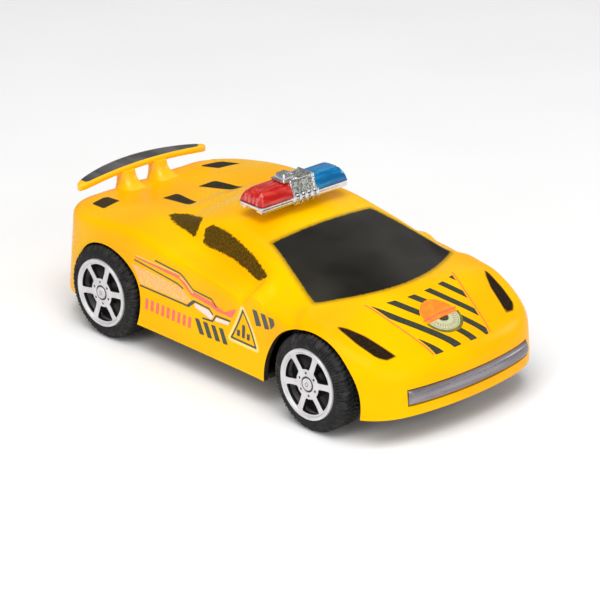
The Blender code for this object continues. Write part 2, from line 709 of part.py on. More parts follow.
def build_gears(rear_axis, transfer_axis, spring_axis):
    nylon = material("gear_nylon", (0.82, 0.8, 0.74), 0.45)
    steel = material("steel", (0.6, 0.6, 0.62), 0.3, 1.0)
    to_transfer = direction(AXLE_AT, TRANSFER_AT)
    pinion = solid("axle_pinion", extrude(gear_outline(PINION_TEETH, to_transfer), 3.0, 7.0, "X"), nylon,
                   rear_axis)
    cut(pinion, "pinion_bore", rod("X", (0, 0), AXLE_RADIUS + GAP, 2.0, 8.0, 12), rear_axis)

    facing_axle = to_transfer + math.pi + math.pi / TRANSFER_TEETH
    wheel = extrude(gear_outline(TRANSFER_TEETH, facing_axle), 3.8, 6.2, "X")
    transfer = solid("transfer_gear", wheel, nylon, transfer_axis)
    to_spring = direction(TRANSFER_AT, SPRING_AT)
    small = extrude(gear_outline(PINION_TEETH, to_spring), -0.5, 4.2, "X")
    add(transfer, "transfer_small", small, transfer_axis)
    cut(transfer, "transfer_bore", rod("X", (0, 0), 1.05, -2.0, 8.0, 12), transfer_axis)
    solid("transfer_shaft", rod("X", (0, 0), 0.75, -11.2, 11.2, 12), steel, transfer_axis)

    facing_transfer = to_spring + math.pi + math.pi / SPRING_TEETH
    gear = extrude(gear_outline(SPRING_TEETH, facing_transfer), 0.2, 2.8, "X")
    spring_gear = solid("spring_gear", gear, nylon, spring_axis)
    cut(spring_gear, "spring_gear_bore", rod("X", (0, 0), 1.3, -1.0, 4.0, 12), spring_axis)
    solid("spring_arbor", rod("X", (0, 0), 1.0, -11.2, 11.2, 12), steel, spring_axis)


def build_mainspring(car):
    steel = material("spring_steel", (0.35, 0.36, 0.4), 0.35, 1.0)
    turns, per_turn, inner, outer, half_strip = 4.0, 14, 1.6, 7.6, 0.15
    steps = int(turns * per_turn)
    inside, outside = [], []
    for i in range(steps + 1):
        angle = 2 * math.pi * i / per_turn
        radius = inner + (outer - inner) * i / steps
        for edge, offset in ((inside, -half_strip), (outside, half_strip)):
            edge.append(((radius + offset) * math.cos(angle), (radius + offset) * math.sin(angle)))
    points = [(x, y, z) for x in (-8.6, -3.6) for y, z in [*inside, *outside]]
    count = steps + 1
    faces = []
    for i in range(steps):
        faces.append((i, i + 1, count + i + 1, count + i))
        faces.append((2 * count + i, 2 * count + i + 1, 3 * count + i + 1, 3 * count + i))
        faces.append((i, i + 1, 2 * count + i + 1, 2 * count + i))
        faces.append((count + i, count + i + 1, 3 * count + i + 1, 3 * count + i))
    for end in (0, steps):
        faces.append((end, count + end, 3 * count + end, 2 * count + end))
    solid("mainspring", (points, faces), steel, car, (0, *SPRING_AT))


def rounded_hull(rounds, inset):
    """The outline of a belt pulled round several circles, each given as (y, z, radius)."""
    outline = []
    count = 36
    for i in range(count):
        turn = 2 * math.pi * i / count
        y, z, radius = max(rounds, key=lambda c: c[0] * math.cos(turn) + c[1] * math.sin(turn) + c[2])
        outline.append((y + (radius - inset) * math.cos(turn), z + (radius - inset) * math.sin(turn)))
    return outline


def build_motor_case(car):
    skin = material("motor_case_plastic", (0.06, 0.06, 0.065), 0.5)
    ears = {
        "left": (FRONT_EAR, (8.5, 20.0)),
        "right": (REAR_EAR, (44.0, 59.0)),
    }
    bores = ((AXLE_AT, AXLE_RADIUS + GAP), (TRANSFER_AT, 1.05), (SPRING_AT, 1.3))
    for name, side in (("left", 1), ("right", -1)):
        split, face = side * GAP / 2, side * CASE_HALF
        outline = rounded_hull(CASE_ROUNDS, 0.0)
        case = solid(f"motor_case_{name}", extrude(outline, *sorted((split, face)), "X"), skin, car)
        (ear_x, ear_y), ear_span = ears[name]
        add(case, f"ear_{name}", box((ear_x - 3.5, ear_x + 3.5), ear_span, (9.0, 11.0)), car)
        inner = rounded_hull(CASE_ROUNDS, CASE_WALL)
        hollow_span = sorted((-side * 2.0, face - side * CASE_WALL))
        hollow = helper(f"case_hollow_{name}", extrude(inner, *hollow_span, "X"), car)
        if side < 0:
            ring = lathe_x([(-12.0, 9.2), (-3.0, 9.2), (-3.0, 8.3), (-12.0, 8.3)], 24)
            cut(hollow, "drum_wall", ring, car, (0, *SPRING_AT))
        combine(case, hollow, "DIFFERENCE")
        bore_span = sorted((side * 9.0, side * 13.0))
        for i, (centre, radius) in enumerate(bores):
            cut(case, f"case_bore_{name}_{i}", rod("X", centre, radius, *bore_span, 12), car)
        cut(case, f"ear_hole_{name}", rod("Z", (ear_x, ear_y), 1.4, 8.0, 12.0, 12), car)


def main():
    clear_scene()
    car = empty("car", (0, CAR_SHIFT_Y, 0))
    front_axis = empty("front_axle_axis", (0, -WHEEL_Y, WHEEL_Z), car)
    rear_axis = empty("rear_axle_axis", (0, WHEEL_Y, WHEEL_Z), car)
    transfer_axis = empty("transfer_axis", (0, *TRANSFER_AT), car)
    spring_axis = empty("spring_axis", (0, *SPRING_AT), car)
    build_body(car)
    build_wing(car)
    build_strip(car)
    build_lightbar(car)
    build_wheels(front_axis, rear_axis)
    build_chassis(car)
    build_axle_retainer(car)
    build_screws(car)
    build_motor_case(car)
    build_gears(rear_axis, transfer_axis, spring_axis)
    build_mainspring(car)


main()
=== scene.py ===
"""Looks of the pull back toy car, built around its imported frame.

Lengths are millimetres in the car's design frame, where Y = 0 lies midway between the axles. Making a
mesh turns them into metres and moves them by CAR_SHIFT_Y. Distances to outlines are negative inside.
"""

import json
import math

import bmesh
import bpy
import numpy as np
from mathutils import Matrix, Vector


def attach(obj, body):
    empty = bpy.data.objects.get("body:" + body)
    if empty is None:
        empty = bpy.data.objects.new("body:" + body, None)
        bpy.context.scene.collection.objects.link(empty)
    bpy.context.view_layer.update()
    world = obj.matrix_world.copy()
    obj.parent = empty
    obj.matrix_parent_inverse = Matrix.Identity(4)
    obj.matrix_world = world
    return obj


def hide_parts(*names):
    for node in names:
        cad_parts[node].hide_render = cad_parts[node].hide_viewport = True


MM = 0.001
CAR_SHIFT_Y = -1.1

# Wheels
WHEEL_Y = 46.1
WHEEL_Z = 15.0
TYRE_RADIUS = 15.0
HUB_FACE_X = 38.8
RIM_RADIUS = 10.9
WINDOW_COUNT = 6
WINDOW_PHASE = math.radians(40)
WINDOW_INNER = 4.6
WINDOW_OUTER = 9.2
SPOKE_HALF = 0.95
NUT_CIRCLE = 3.45
TREAD_PITCHES = 60
TREAD_GROOVES = (31.0, 32.8, 34.6)
SIDE_RIBS = 90
TYRE_SEGMENTS = 360

# Body
SILL_Z = 9.0
WALL = 1.8
NOSE_Y = -75.2
TAIL_Y = 75.8
ARCHES = ((-45.6, 11.6, 19.3), (45.6, 14.8, 16.0))  # centre y, centre z, radius
ARCH_X = (33.0, 45.0)
STRIP_Z = 14.7
STRIP_HEIGHT = 4.6
STRIP_HALF = 25.4
STRIP_X = 2.2  # the strip sits a little to the car's left
STRIP_PROUD = 0.9
GROOVE_DEPTH = 1.0
GAP = 0.3
POST_X = 6.6
POST_Y = 69.3
POST_TOP = 40.6
BODY_SCREWS = ((12.0, -62.0), (-12.0, -62.0), (17.0, 64.0), (-17.0, 64.0))
BOSS_BORE = 1.4
BOSS_RADIUS = 2.9
BODY_GRID = (30, 96, 18, 76)  # rows of each fan and between them, columns of each side and the top
FAN_SPREAD = 0.9
EDGE_ANGLE_LIMIT = 0.75
RAY_REACH = 60.0

# Camera and studio
CAMERA_AT = (-603.27, -643.88, 396.58)
CAMERA_TARGET = (0.0, -3.71, 16.57)
CAMERA_LENS = 188.45
CAMERA_SENSOR = 36.0
FLOOR_HALF = 3.0
WORLD_LIGHT = 0.27
LIT_POINT = (0.0, 0.0, 0.02)
LIGHTS = (  # name, place, size, power
    ("key", (-0.3, -0.25, 0.95), (0.8, 0.8), 8.3),
    ("fill", (-0.95, 0.0, 0.5), (0.8, 0.7), 2.5),
    ("front", (-0.1, -1.0, 0.45), (0.8, 0.6), 2.9),
    ("back", (0.3, 0.3, 1.0), (0.35, 0.35), 0.6),
    ("edge", (0.9, -0.42, 0.36), (0.2, 0.2), 1.1),
    ("rim", (0.78, 0.46, 0.6), (0.35, 0.35), 0.28),
)


def srgb(red, green, blue):
    """The linear colour of an sRGB colour in 0 to 255."""
    shares = [c / 255 for c in (red, green, blue)]
    linear = [c / 12.92 if c <= 0.04045 else ((c + 0.055) / 1.055) ** 2.4 for c in shares]
    return (*linear, 1.0)


YELLOW = srgb(255, 194, 0)
ORANGE = srgb(255, 178, 0)
OLIVE = srgb(150, 124, 10)
GLASS_BLACK = srgb(22, 20, 20)
CHROME_TINT = (0.82, 0.82, 0.85, 1.0)


# ---- the body's surface

# Heights and widths along the car, as (y, value) points of smooth curves.
CENTRE_LINE = [(-78, 21.0), (-71, 24.9), (-60, 30.8), (-50, 35.6), (-44, 37.2), (-28, 41.4), (-12, 45.1),
               (0, 47.4), (8, 47.9), (17, 46.2), (27, 42.3), (36, 38.8), (48, 34.5), (78, 28.0)]
CROWN = [(-78, 0.0032), (-50, 0.0032), (-38, 0.0042), (-12, 0.0025), (2, 0.0028), (16, 0.005),
         (32, 0.006), (78, 0.006)]
SHOULDER = [(-78, 18.0), (-60, 27.0), (-50, 29.5), (-36, 32.3), (-26, 34.6), (-19.5, 36.2), (-16.5, 32.9),
            (-13, 33.0), (-1, 34.3), (13, 36.2), (25, 38.2), (36, 39.3), (44, 38.7), (56, 37.0),
            (66, 35.6), (78, 34.2)]
CABIN_WIDTH = [(-78, 80.0), (-52, 80.0), (-44, 44.0), (-38, 31.5), (-30, 29.3), (-18, 28.6), (5, 28.2),
               (20, 26.6), (32, 24.0), (42, 21.5), (78, 20.0)]


def curve(t, points):
    """A smooth curve through (t, value) points."""
    knots, values = np.array(points, float).T
    slopes = np.gradient(values, knots)
    i = np.clip(np.searchsorted(knots, t) - 1, 0, len(knots) - 2)
    width = knots[i + 1] - knots[i]
    s = np.clip((t - knots[i]) / width, 0, 1)
    start = (1 + 2 * s) * (1 - s) ** 2 * values[i] + s * (1 - s) ** 2 * width * slopes[i]
    end = s * s * (3 - 2 * s) * values[i + 1] + s * s * (s - 1) * width * slopes[i + 1]
    return start + end


def ease(t, start, end):
    s = np.clip((t - start) / (end - start), 0, 1)
    return s * s * (3 - 2 * s)


def bump(t, centre, spread):
    return np.exp(-(((t - centre) / spread) ** 2))


def round_max(a, b, size):
    """The larger of two fields, with the corner where they meet rounded off."""
    overlap = np.clip(1 - np.abs(a - b) / size, 0, 1)
    return np.maximum(a, b) + overlap**2 * size / 4


def round_min(a, b, size):
    return -round_max(-a, -b, size)


def nose_y(x):
    """The front face in plan at the height of the strip: bowed, with round corners."""
    across = np.abs(x)
    return NOSE_Y + 2.4 * (across / 24) ** 2 + 8.0 * (across / 37) ** 8


def body_fields(x, y, z):
    """Two fields, negative inside: one for the body's top, one for its upright walls."""
    across = np.abs(x)
    roof = (z - curve(y, CENTRE_LINE) + curve(y, CROWN) * x * x) * 0.95
    window = (across - curve(y, CABIN_WIDTH) + 0.5 * (z - 37)) * 0.89
    cabin = round_max(roof, window, 3.0)
    deck_valley = 3.4 * ease(y, 28, 38) * bump(x, 0, 17)
    step_drop = 2.0 * ease(across, 28, 36) * bump(y, -21, 9)
    shoulder = z - curve(y, SHOULDER) - 0.1 * (35.3 - across) + deck_valley + step_drop
    top = round_min(cabin, shoulder, 2.5)

    arch_flare = 1.3 * bump(y, -46, 15) + 0.5 * bump(y, 46, 20)
    waist = 1.3 * bump(z, 23, 9) * (1 - 0.6 * bump(y, -46, 18))
    flank = across - (36.9 + arch_flare - waist - 0.1 * np.clip(z - 34, 0, 10))

    front_slope = 4.8 * across / 24**2 + 64 / 37 * (across / 37) ** 7
    front = (nose_y(x) + 0.1 * np.clip(z - 12, 0, 20) - y) / np.sqrt(1 + front_slope**2)
    rear_slope = 2.8 * across / 24**2 + 88 / 36 * (across / 36) ** 7
    tail = TAIL_Y - 1.4 * (across / 24) ** 2 - 11.0 * (across / 36) ** 8 - 0.11 * (z - SILL_Z)
    rear = (y - tail) / np.sqrt(1 + rear_slope**2)
    walls = round_max(flank, round_max(front, rear, 1.0), 3.0)
    return top, walls


def body_field(x, y, z):
    """Negative inside the body, 0 on its outer surface, about the distance in mm near it."""
    top, walls = body_fields(x, y, z)
    edge_round = 2.2 + 3.0 * ease(y, -24, -44)
    return round_max(top, walls, edge_round)


def bisected(low, high, is_below, steps):
    """Halves the gap from low to high towards the place where is_below stops being true."""
    for _ in range(steps):
        middle = (low + high) / 2
        below = is_below(middle)
        low = np.where(below, middle, low)
        high = np.where(below, high, middle)
    return low


def hits(start, ray, level):
    """Where each ray leaves the body_field surface at a level."""

    def inside(reach):
        return body_field(*np.moveaxis(start + ray * reach[..., None], -1, 0)) < level

    near = np.zeros(start.shape[:-1])
    reach = bisected(near, near + RAY_REACH, inside, 30)
    return start + ray * reach[..., None]


def fan_rays(rows, angle):
    """Starts and directions for rows of (y, side, turn) at one angle per row and column."""
    start = np.zeros((*angle.shape, 3))
    ray = np.zeros_like(start)
    y, side, turn = (np.array(part)[:, None] for part in zip(*rows, strict=True))
    start[..., 1] = y
    start[..., 2] = SILL_Z
    ray[..., 0] = np.cos(angle)
    ray[..., 1] = side * np.sin(angle) * np.cos(turn)
    ray[..., 2] = np.sin(angle) * np.sin(turn)
    return start, ray


def edge_angles(rows):
    """For each row, the angle at which its section turns from the side wall to the top."""

    def on_wall(angle):
        spot = hits(*fan_rays(rows, angle), 0.0)
        top, walls = body_fields(*np.moveaxis(spot, -1, 0))
        return top < walls

    low = np.full((len(rows), 1), 0.05)
    return np.minimum(bisected(low, np.full(low.shape, math.pi / 2), on_wall, 14), EDGE_ANGLE_LIMIT)


def body_grid(level):
    """Points of the body_field surface at a level, in rows along the car and columns across it.

    Each point lies on a ray from the line between the wheel stations at sill height. Between them the
    rows are upright sections, and past them they fan out until they lie flat at the sill. One column on
    each side follows the body's upper edge.
    """
    fan, spans, side_columns, top_columns = BODY_GRID
    fan_turns = [math.pi / 2 * (i / fan) ** FAN_SPREAD for i in range(fan)]
    rows = [(-WHEEL_Y, -1.0, turn) for turn in fan_turns]
    rows += [(-WHEEL_Y + 2 * WHEEL_Y * i / spans, 0.0, math.pi / 2) for i in range(spans + 1)]
    rows += [(WHEEL_Y, 1.0, turn) for turn in reversed(fan_turns)]
    edge = edge_angles(rows)
    side = edge * np.linspace(0, 1, side_columns + 1)[:-1]
    top = edge + (math.pi - 2 * edge) * np.linspace(0, 1, top_columns + 1)
    angle = np.concatenate([side, top, math.pi - side[:, ::-1]], axis=1)
    return hits(*fan_rays(rows, angle), level)


def grid_rim(rows, columns):
    """The indices of a grid's points round its edge."""
    last = (rows - 1) * columns
    right = [i * columns + columns - 1 for i in range(1, rows - 1)]
    left = [i * columns for i in range(rows - 2, 0, -1)]
    return [*range(columns), *right, *range(last + columns - 1, last - 1, -1), *left]


def shell_solid(outer, inner):
    """The space between two grids, closed round the sill."""
    rows, columns = outer.shape[:2]
    count = rows * columns
    points = [tuple(p) for p in np.concatenate([outer.reshape(-1, 3), inner.reshape(-1, 3)])]
    faces = grid_faces(rows, columns)
    faces += [tuple(count + k for k in face[::-1]) for face in faces]
    rim = grid_rim(rows, columns)
    for start, end in zip(rim, [*rim[1:], rim[0]], strict=True):
        faces.append((start, count + start, count + end, end))
    return points, faces


def slope_of(x, y, z):
    """The body_field's outward direction at each point."""
    step = 0.05
    parts = (
        body_field(x + step, y, z) - body_field(x - step, y, z),
        body_field(x, y + step, z) - body_field(x, y - step, z),
        body_field(x, y, z + step) - body_field(x, y, z - step),
    )
    slope = np.stack(parts, axis=-1)
    return slope / np.linalg.norm(slope, axis=-1, keepdims=True)


def side_points(y, z, side):
    """Points of the body's side at each (y, z)."""
    y, z = np.asarray(y, float), np.asarray(z, float)
    across = bisected(np.full(y.shape, 15.0), np.full(y.shape, 45.0), lambda x: body_field(x, y, z) < 0, 26)
    return np.stack([side * across, y, z], axis=-1)


def top_points(x, y):
    """Points of the body's top at each (x, y)."""
    x, y = np.asarray(x, float), np.asarray(y, float)
    height = bisected(np.full(x.shape, 15.0), np.full(x.shape, 60.0), lambda z: body_field(x, y, z) < 0, 26)
    return np.stack([x, y, height], axis=-1)


# ---- distances to flat outlines


def segment_distance(u, v, start, end):
    """The distance from (u, v) to the straight line between two points."""
    du, dv = end[0] - start[0], end[1] - start[1]
    u, v = u - start[0], v - start[1]
    along = np.clip((u * du + v * dv) / (du * du + dv * dv), 0, 1)
    return np.hypot(u - along * du, v - along * dv)


def polygon_distance(u, v, outline):
    """The signed distance from (u, v) to a closed outline, negative inside."""
    nearest = np.full(u.shape, np.inf)
    inside = np.zeros(u.shape, bool)
    for start, end in zip(outline, [*outline[1:], outline[0]], strict=True):
        nearest = np.minimum(nearest, segment_distance(u, v, start, end))
        (u0, v0), (u1, v1) = start, end
        if v0 != v1:
            inside ^= ((v0 > v) != (v1 > v)) & (u < u0 + (v - v0) * (u1 - u0) / (v1 - v0))
    return np.where(inside, -nearest, nearest)


def line_distance(u, v, path, half_width):
    """The signed distance to a line of one width drawn along a path, negative on the line."""
    parts = [segment_distance(u, v, start, end) for start, end in zip(path, path[1:], strict=False)]
    return union(*parts) - half_width


def union(*distances):
    return np.minimum.reduce(distances)


def overlap(*distances):
    return np.maximum.reduce(distances)


# ---- meshes


def grid_faces(rows, columns, close_rows=False, close_columns=False):
    """Quads between neighbouring points of a grid stored row by row."""
    faces = []
    for i in range(rows if close_rows else rows - 1):
        below, above = i * columns, (i + 1) % rows * columns
        for j in range(columns if close_columns else columns - 1):
            k = (j + 1) % columns
            faces.append((below + j, below + k, above + k, above + j))
    return faces


def tube_faces(rows, columns):
    """The faces of a grid closed round its columns and capped at both ends."""
    caps = [tuple(range(columns))[::-1], tuple(range((rows - 1) * columns, rows * columns))]
    return [*grid_faces(rows, columns, close_columns=True), *caps]


def prism_faces(count):
    """The sides and ends between two rings of points."""
    sides = [(i, (i + 1) % count, count + (i + 1) % count, count + i) for i in range(count)]
    return [*sides, tuple(range(count))[::-1], tuple(range(count, 2 * count))]


def box(x, y, z):
    return frustum((*x, *y, z[0]), (*x, *y, z[1]))


def frustum(low, high):
    """A block between two rectangles, each (x0, x1, y0, y1, z)."""
    points = []
    for x0, x1, y0, y1, z in (low, high):
        points += [(x0, y0, z), (x1, y0, z), (x1, y1, z), (x0, y1, z)]
    return points, prism_faces(4)


def extrude(outline, low, high, axis):
    """A closed prism. The outline holds (x, y) for axis Z and (y, z) for axis X."""
    points = [(a, b, level) if axis == "Z" else (level, a, b) for level in (low, high) for a, b in outline]
    return points, prism_faces(len(outline))


def circle(centre, radius, count):
    turns = [2 * math.pi * (i + 0.5) / count for i in range(count)]
    return [(centre[0] + radius * math.cos(t), centre[1] + radius * math.sin(t)) for t in turns]


def lathe_x(profile, count):
    """Turns a run of (x, radius) points about the X axis. A radius of 0 is a pole."""
    points, rings = [], []
    for x, radius in profile:
        if radius == 0:
            rings.append([len(points)] * count)
            points.append((x, 0.0, 0.0))
        else:
            rings.append(list(range(len(points), len(points) + count)))
            points += [(x, y, z) for y, z in circle((0, 0), radius, count)]
    faces = []
    last = len(profile) if profile[0][1] > 0 else len(profile) - 1
    for i in range(last):
        ring, after = rings[i], rings[(i + 1) % len(rings)]
        for j in range(count):
            k = (j + 1) % count
            faces.append(tuple(dict.fromkeys((ring[j], ring[k], after[k], after[j]))))
    return points, faces


def joined(*shapes):
    """Several shapes as one list of points and faces."""
    points, faces = [], []
    for more_points, more_faces in shapes:
        first = len(points)
        points += list(more_points)
        faces += [tuple(first + i for i in face) for face in more_faces]
    return points, faces


def moved(shape, at=(0, 0, 0), half_turn=False):
    """A shape turned half round about Z if asked, then moved."""
    points, faces = shape
    sign = -1 if half_turn else 1
    return [(sign * x + at[0], sign * y + at[1], z + at[2]) for x, y, z in points], faces


def linked(name, data):
    """A new object in the scene."""
    obj = bpy.data.objects.new(name, data)
    bpy.context.scene.collection.objects.link(obj)
    return obj


def shade(mesh, smooth_angle):
    """Shades the mesh smooth, apart from edges sharper than an angle."""
    mesh.shade_smooth()
    mesh.set_sharp_from_angle(angle=math.radians(smooth_angle))


def mesh_object(name, shape, skins, smooth_angle=35, closed=True):
    """An object in world metres made from a shape. A closed one gets its faces turned outward."""
    points, faces = shape
    mesh = bpy.data.meshes.new(name)
    world = [(x * MM, (y + CAR_SHIFT_Y) * MM, z * MM) for x, y, z in points]
    mesh.from_pydata(world, [], faces)
    if closed:
        work = bmesh.new()
        work.from_mesh(mesh)
        bmesh.ops.remove_doubles(work, verts=work.verts, dist=1e-7)
        bmesh.ops.recalc_face_normals(work, faces=work.faces)
        work.to_mesh(mesh)
        work.free()
    shade(mesh, smooth_angle)
    for skin in skins:
        mesh.materials.append(skin)
    return linked(name, mesh)


def bake(obj, smooth_angle=35):
    """Applies the object's modifiers."""
    graph = bpy.context.evaluated_depsgraph_get()
    mesh = bpy.data.meshes.new_from_object(obj.evaluated_get(graph))
    obj.modifiers.clear()
    obj.data = mesh
    shade(mesh, smooth_angle)


def carve(obj, shape):
    """Cuts a shape from the object."""
    cutter = mesh_object("cutter", shape, [])
    step = obj.modifiers.new("cut", "BOOLEAN")
    step.operation = "DIFFERENCE"
    step.solver = "EXACT"
    step.object = cutter
    bake(obj)
    bpy.data.objects.remove(cutter, do_unlink=True)


def soften(obj, width, segments=2, angle=30, smooth_angle=35):
    """Rounds the object's edges."""
    step = obj.modifiers.new("edges", "BEVEL")
    step.width = width * MM
    step.segments = segments
    step.limit_method = "ANGLE"
    step.angle_limit = math.radians(angle)
    bake(obj, smooth_angle)


def clipped(points, distance):
    """The part of a (rows, columns, 3) grid of points where distance is negative, as a shape."""
    rows, columns = distance.shape
    flat = points.reshape(-1, 3)
    value = distance.reshape(-1)
    out, faces, seen = [], [], {}

    def keep(key, point):
        if key not in seen:
            seen[key] = len(out)
            out.append(tuple(point))
        return seen[key]

    for i in range(rows - 1):
        for j in range(columns - 1):
            a = i * columns + j
            quad = (a, a + 1, a + columns + 1, a + columns)
            if min(value[k] for k in quad) >= 0:
                continue
            face = []
            for start, end in zip(quad, quad[1:] + quad[:1], strict=True):
                if value[start] < 0:
                    face.append(keep(start, flat[start]))
                if (value[start] < 0) != (value[end] < 0):
                    low, high = min(start, end), max(start, end)
                    share = value[low] / (value[low] - value[high])
                    face.append(keep((low, high), flat[low] + share * (flat[high] - flat[low])))
            if len(face) > 2:
                faces.append(tuple(face))
    return out, faces


def settle(piece, body, replaces=()):
    """Lets a piece ride on a body, and hides the imported nodes it stands for."""
    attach(piece, body)
    if replaces:
        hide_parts(*replaces)
    return piece


# ---- materials


class Skin:
    """Builds one node material. Sizes are in millimetres."""

    def __init__(self, name, **constants):
        self.material = bpy.data.materials.new(name)
        self.material.use_nodes = True
        self.tree = self.material.node_tree
        self.shader = self.tree.nodes["Principled BSDF"]
        self.position = self.tree.nodes.new("ShaderNodeTexCoord").outputs["Object"]
        for socket, value in constants.items():
            self.shader.inputs[socket.replace("_", " ")].default_value = value

    def feed(self, value, socket):
        if isinstance(value, bpy.types.NodeSocket):
            self.tree.links.new(value, socket)
        else:
            socket.default_value = value

    def noise(self, size, detail=2.0, rough=0.5, stretch=None):
        node = self.tree.nodes.new("ShaderNodeTexNoise")
        node.inputs["Scale"].default_value = 1000 / size
        node.inputs["Detail"].default_value = detail
        node.inputs["Roughness"].default_value = rough
        source = self.position
        if stretch:
            mapping = self.tree.nodes.new("ShaderNodeMapping")
            mapping.inputs["Scale"].default_value = stretch
            self.tree.links.new(source, mapping.inputs["Vector"])
            source = mapping.outputs["Vector"]
        self.tree.links.new(source, node.inputs["Vector"])
        return node.outputs["Fac"]

    def cells(self, size):
        node = self.tree.nodes.new("ShaderNodeTexVoronoi")
        node.inputs["Scale"].default_value = 1000 / size
        self.tree.links.new(self.position, node.inputs["Vector"])
        return node.outputs["Distance"]

    def math(self, operation, a, b):
        node = self.tree.nodes.new("ShaderNodeMath")
        node.operation = operation
        self.feed(a, node.inputs[0])
        self.feed(b, node.inputs[1])
        return node.outputs[0]

    def plus(self, a, b):
        return self.math("ADD", a, b)

    def times(self, a, b):
        return self.math("MULTIPLY", a, b)

    def span(self, value, low, high, out_low=0.0, out_high=1.0):
        """Turns low..high into out_low..out_high, and holds it there."""
        node = self.tree.nodes.new("ShaderNodeMapRange")
        node.interpolation_type = "SMOOTHSTEP"
        ends = {"From Min": low, "From Max": high, "To Min": out_low, "To Max": out_high}
        for socket, number in ends.items():
            node.inputs[socket].default_value = number
        self.feed(value, node.inputs["Value"])
        return node.outputs["Result"]

    def mix(self, factor, a, b):
        """Blends two colours."""
        node = self.tree.nodes.new("ShaderNodeMix")
        node.data_type = "RGBA"
        self.feed(factor, node.inputs[0])
        self.feed(a, node.inputs[6])
        self.feed(b, node.inputs[7])
        return node.outputs[2]

    def blend(self, factor, a, b):
        """Blends two numbers."""
        node = self.tree.nodes.new("ShaderNodeMix")
        node.data_type = "FLOAT"
        self.feed(factor, node.inputs[0])
        self.feed(a, node.inputs[2])
        self.feed(b, node.inputs[3])
        return node.outputs[0]

    def tones(self, value, low, high, a, b):
        """Goes from colour a to colour b as the value goes from low to high."""
        return self.mix(self.span(value, low, high), a, b)

    def stored(self, name):
        node = self.tree.nodes.new("ShaderNodeAttribute")
        node.attribute_name = name
        return node.outputs["Fac"]

    def pointed(self, low, high, out_low=0.0, out_high=1.0):
        """How far a point stands out, as Pointiness: low in hollows, 0.5 on flats, high on edges."""
        geometry = self.tree.nodes.new("ShaderNodeNewGeometry")
        return self.span(geometry.outputs["Pointiness"], low, high, out_low, out_high)

    def finish(self, colour, roughness, height, depth):
        """Links the colour, the roughness and a bump of a depth in mm, and hands over the material."""
        self.feed(colour, self.shader.inputs["Base Color"])
        self.feed(roughness, self.shader.inputs["Roughness"])
        node = self.tree.nodes.new("ShaderNodeBump")
        node.inputs["Distance"].default_value = depth * MM
        node.inputs["Strength"].default_value = 1.0
        self.feed(height, node.inputs["Height"])
        self.feed(node.outputs["Normal"], self.shader.inputs["Normal"])
        return self.material


def scaled_colour(colour, share):
    return (*(c * share for c in colour[:3]), 1.0)


def moulded(name, colour, roughness, grain=0.35, depth=0.01, drift=0.06):
    """Moulded plastic: slow drift in colour and gloss, a fine grain, and paler worn edges."""
    skin = Skin(name)
    slow, fine = skin.noise(18, 3), skin.noise(grain, 2)
    base = skin.tones(slow, 0.35, 0.65, scaled_colour(colour, 1 - drift), scaled_colour(colour, 1 + drift))
    worn = tuple(min(1.0, 0.75 * c + 0.08) for c in colour[:3])
    edge = skin.times(skin.pointed(0.53, 0.62), skin.span(skin.noise(1.5, 3), 0.4, 0.7))
    gloss = skin.plus(skin.times(skin.plus(fine, slow), 0.12), roughness - 0.12)
    return skin.finish(skin.mix(skin.times(edge, 0.35), base, (*worn, 1.0)), gloss, fine, depth)


def body_paint():
    """Glossy yellow plastic with painted glass and lamps and printed vents.

    Each painted area is stored on the mesh as the distance in mm to its outline, negative inside.
    """
    skin = Skin("yellow_body", Specular_IOR_Level=0.07, Specular_Tint=(1.0, 0.78, 0.2, 1.0), Coat_Weight=0.04,
                Coat_Roughness=0.16)
    slow, fine, speckle = skin.noise(30, 2), skin.noise(0.5, 2), skin.noise(0.45, 3, 0.7)

    def ragged(name, size, detail, rough, depth):
        """A stored distance made uneven, so that the outline wanders."""
        wander = skin.times(skin.math("SUBTRACT", skin.noise(size, detail, rough), 0.5), depth)
        return skin.plus(skin.stored(name), wander)

    screen = ragged("screen", 1.3, 3, 0.5, 0.6)
    screen_mask = skin.span(screen, -0.65, -0.05, 1.0, 0.0)
    side_mask = skin.span(ragged("side_glass", 0.9, 4, 0.75, 2.2), -0.25, 0.35, 1.0, 0.0)
    lamp_mask = skin.span(skin.stored("lamp"), -0.35, 0.35, 1.0, 0.0)
    vent_mask = skin.span(skin.stored("vent"), -0.08, 0.08, 1.0, 0.0)
    layers = (
        (skin.span(screen, -0.3, 1.5, 0.85, 0.0), OLIVE),
        (screen_mask, skin.tones(skin.noise(22, 2), 0.35, 0.7, GLASS_BLACK, srgb(40, 39, 36))),
        (skin.times(side_mask, 0.95), skin.tones(speckle, 0.42, 0.66, srgb(36, 26, 10), srgb(92, 74, 20))),
        (lamp_mask, skin.tones(speckle, 0.4, 0.7, srgb(26, 16, 8), srgb(58, 42, 30))),
        (vent_mask, skin.tones(speckle, 0.4, 0.7, srgb(36, 34, 22), srgb(62, 58, 46))),
    )
    colour = skin.tones(slow, 0.3, 0.7, YELLOW, ORANGE)
    for mask, paint in layers:
        colour = skin.mix(mask, colour, paint)
    matt = skin.math("MAXIMUM", skin.math("MAXIMUM", side_mask, lamp_mask), vent_mask)
    gloss = skin.plus(skin.times(skin.plus(fine, slow), 0.08), 0.2)
    gloss = skin.blend(matt, skin.blend(screen_mask, gloss, 0.16), 0.5)
    return skin.finish(colour, gloss, skin.plus(skin.noise(7, 2), skin.times(fine, 0.06)), 0.05)


def ink(name, colour, other, size):
    """Printed ink on clear film: a fine unevenness between two shades."""
    skin = Skin(name, Coat_Weight=0.3, Coat_Roughness=0.15)
    grain = skin.noise(size, 3, 0.6)
    tones = skin.tones(grain, 0.35, 0.65, srgb(*colour), srgb(*other))
    return skin.finish(tones, skin.span(grain, 0.3, 0.7, 0.29, 0.43), grain, 0.006)


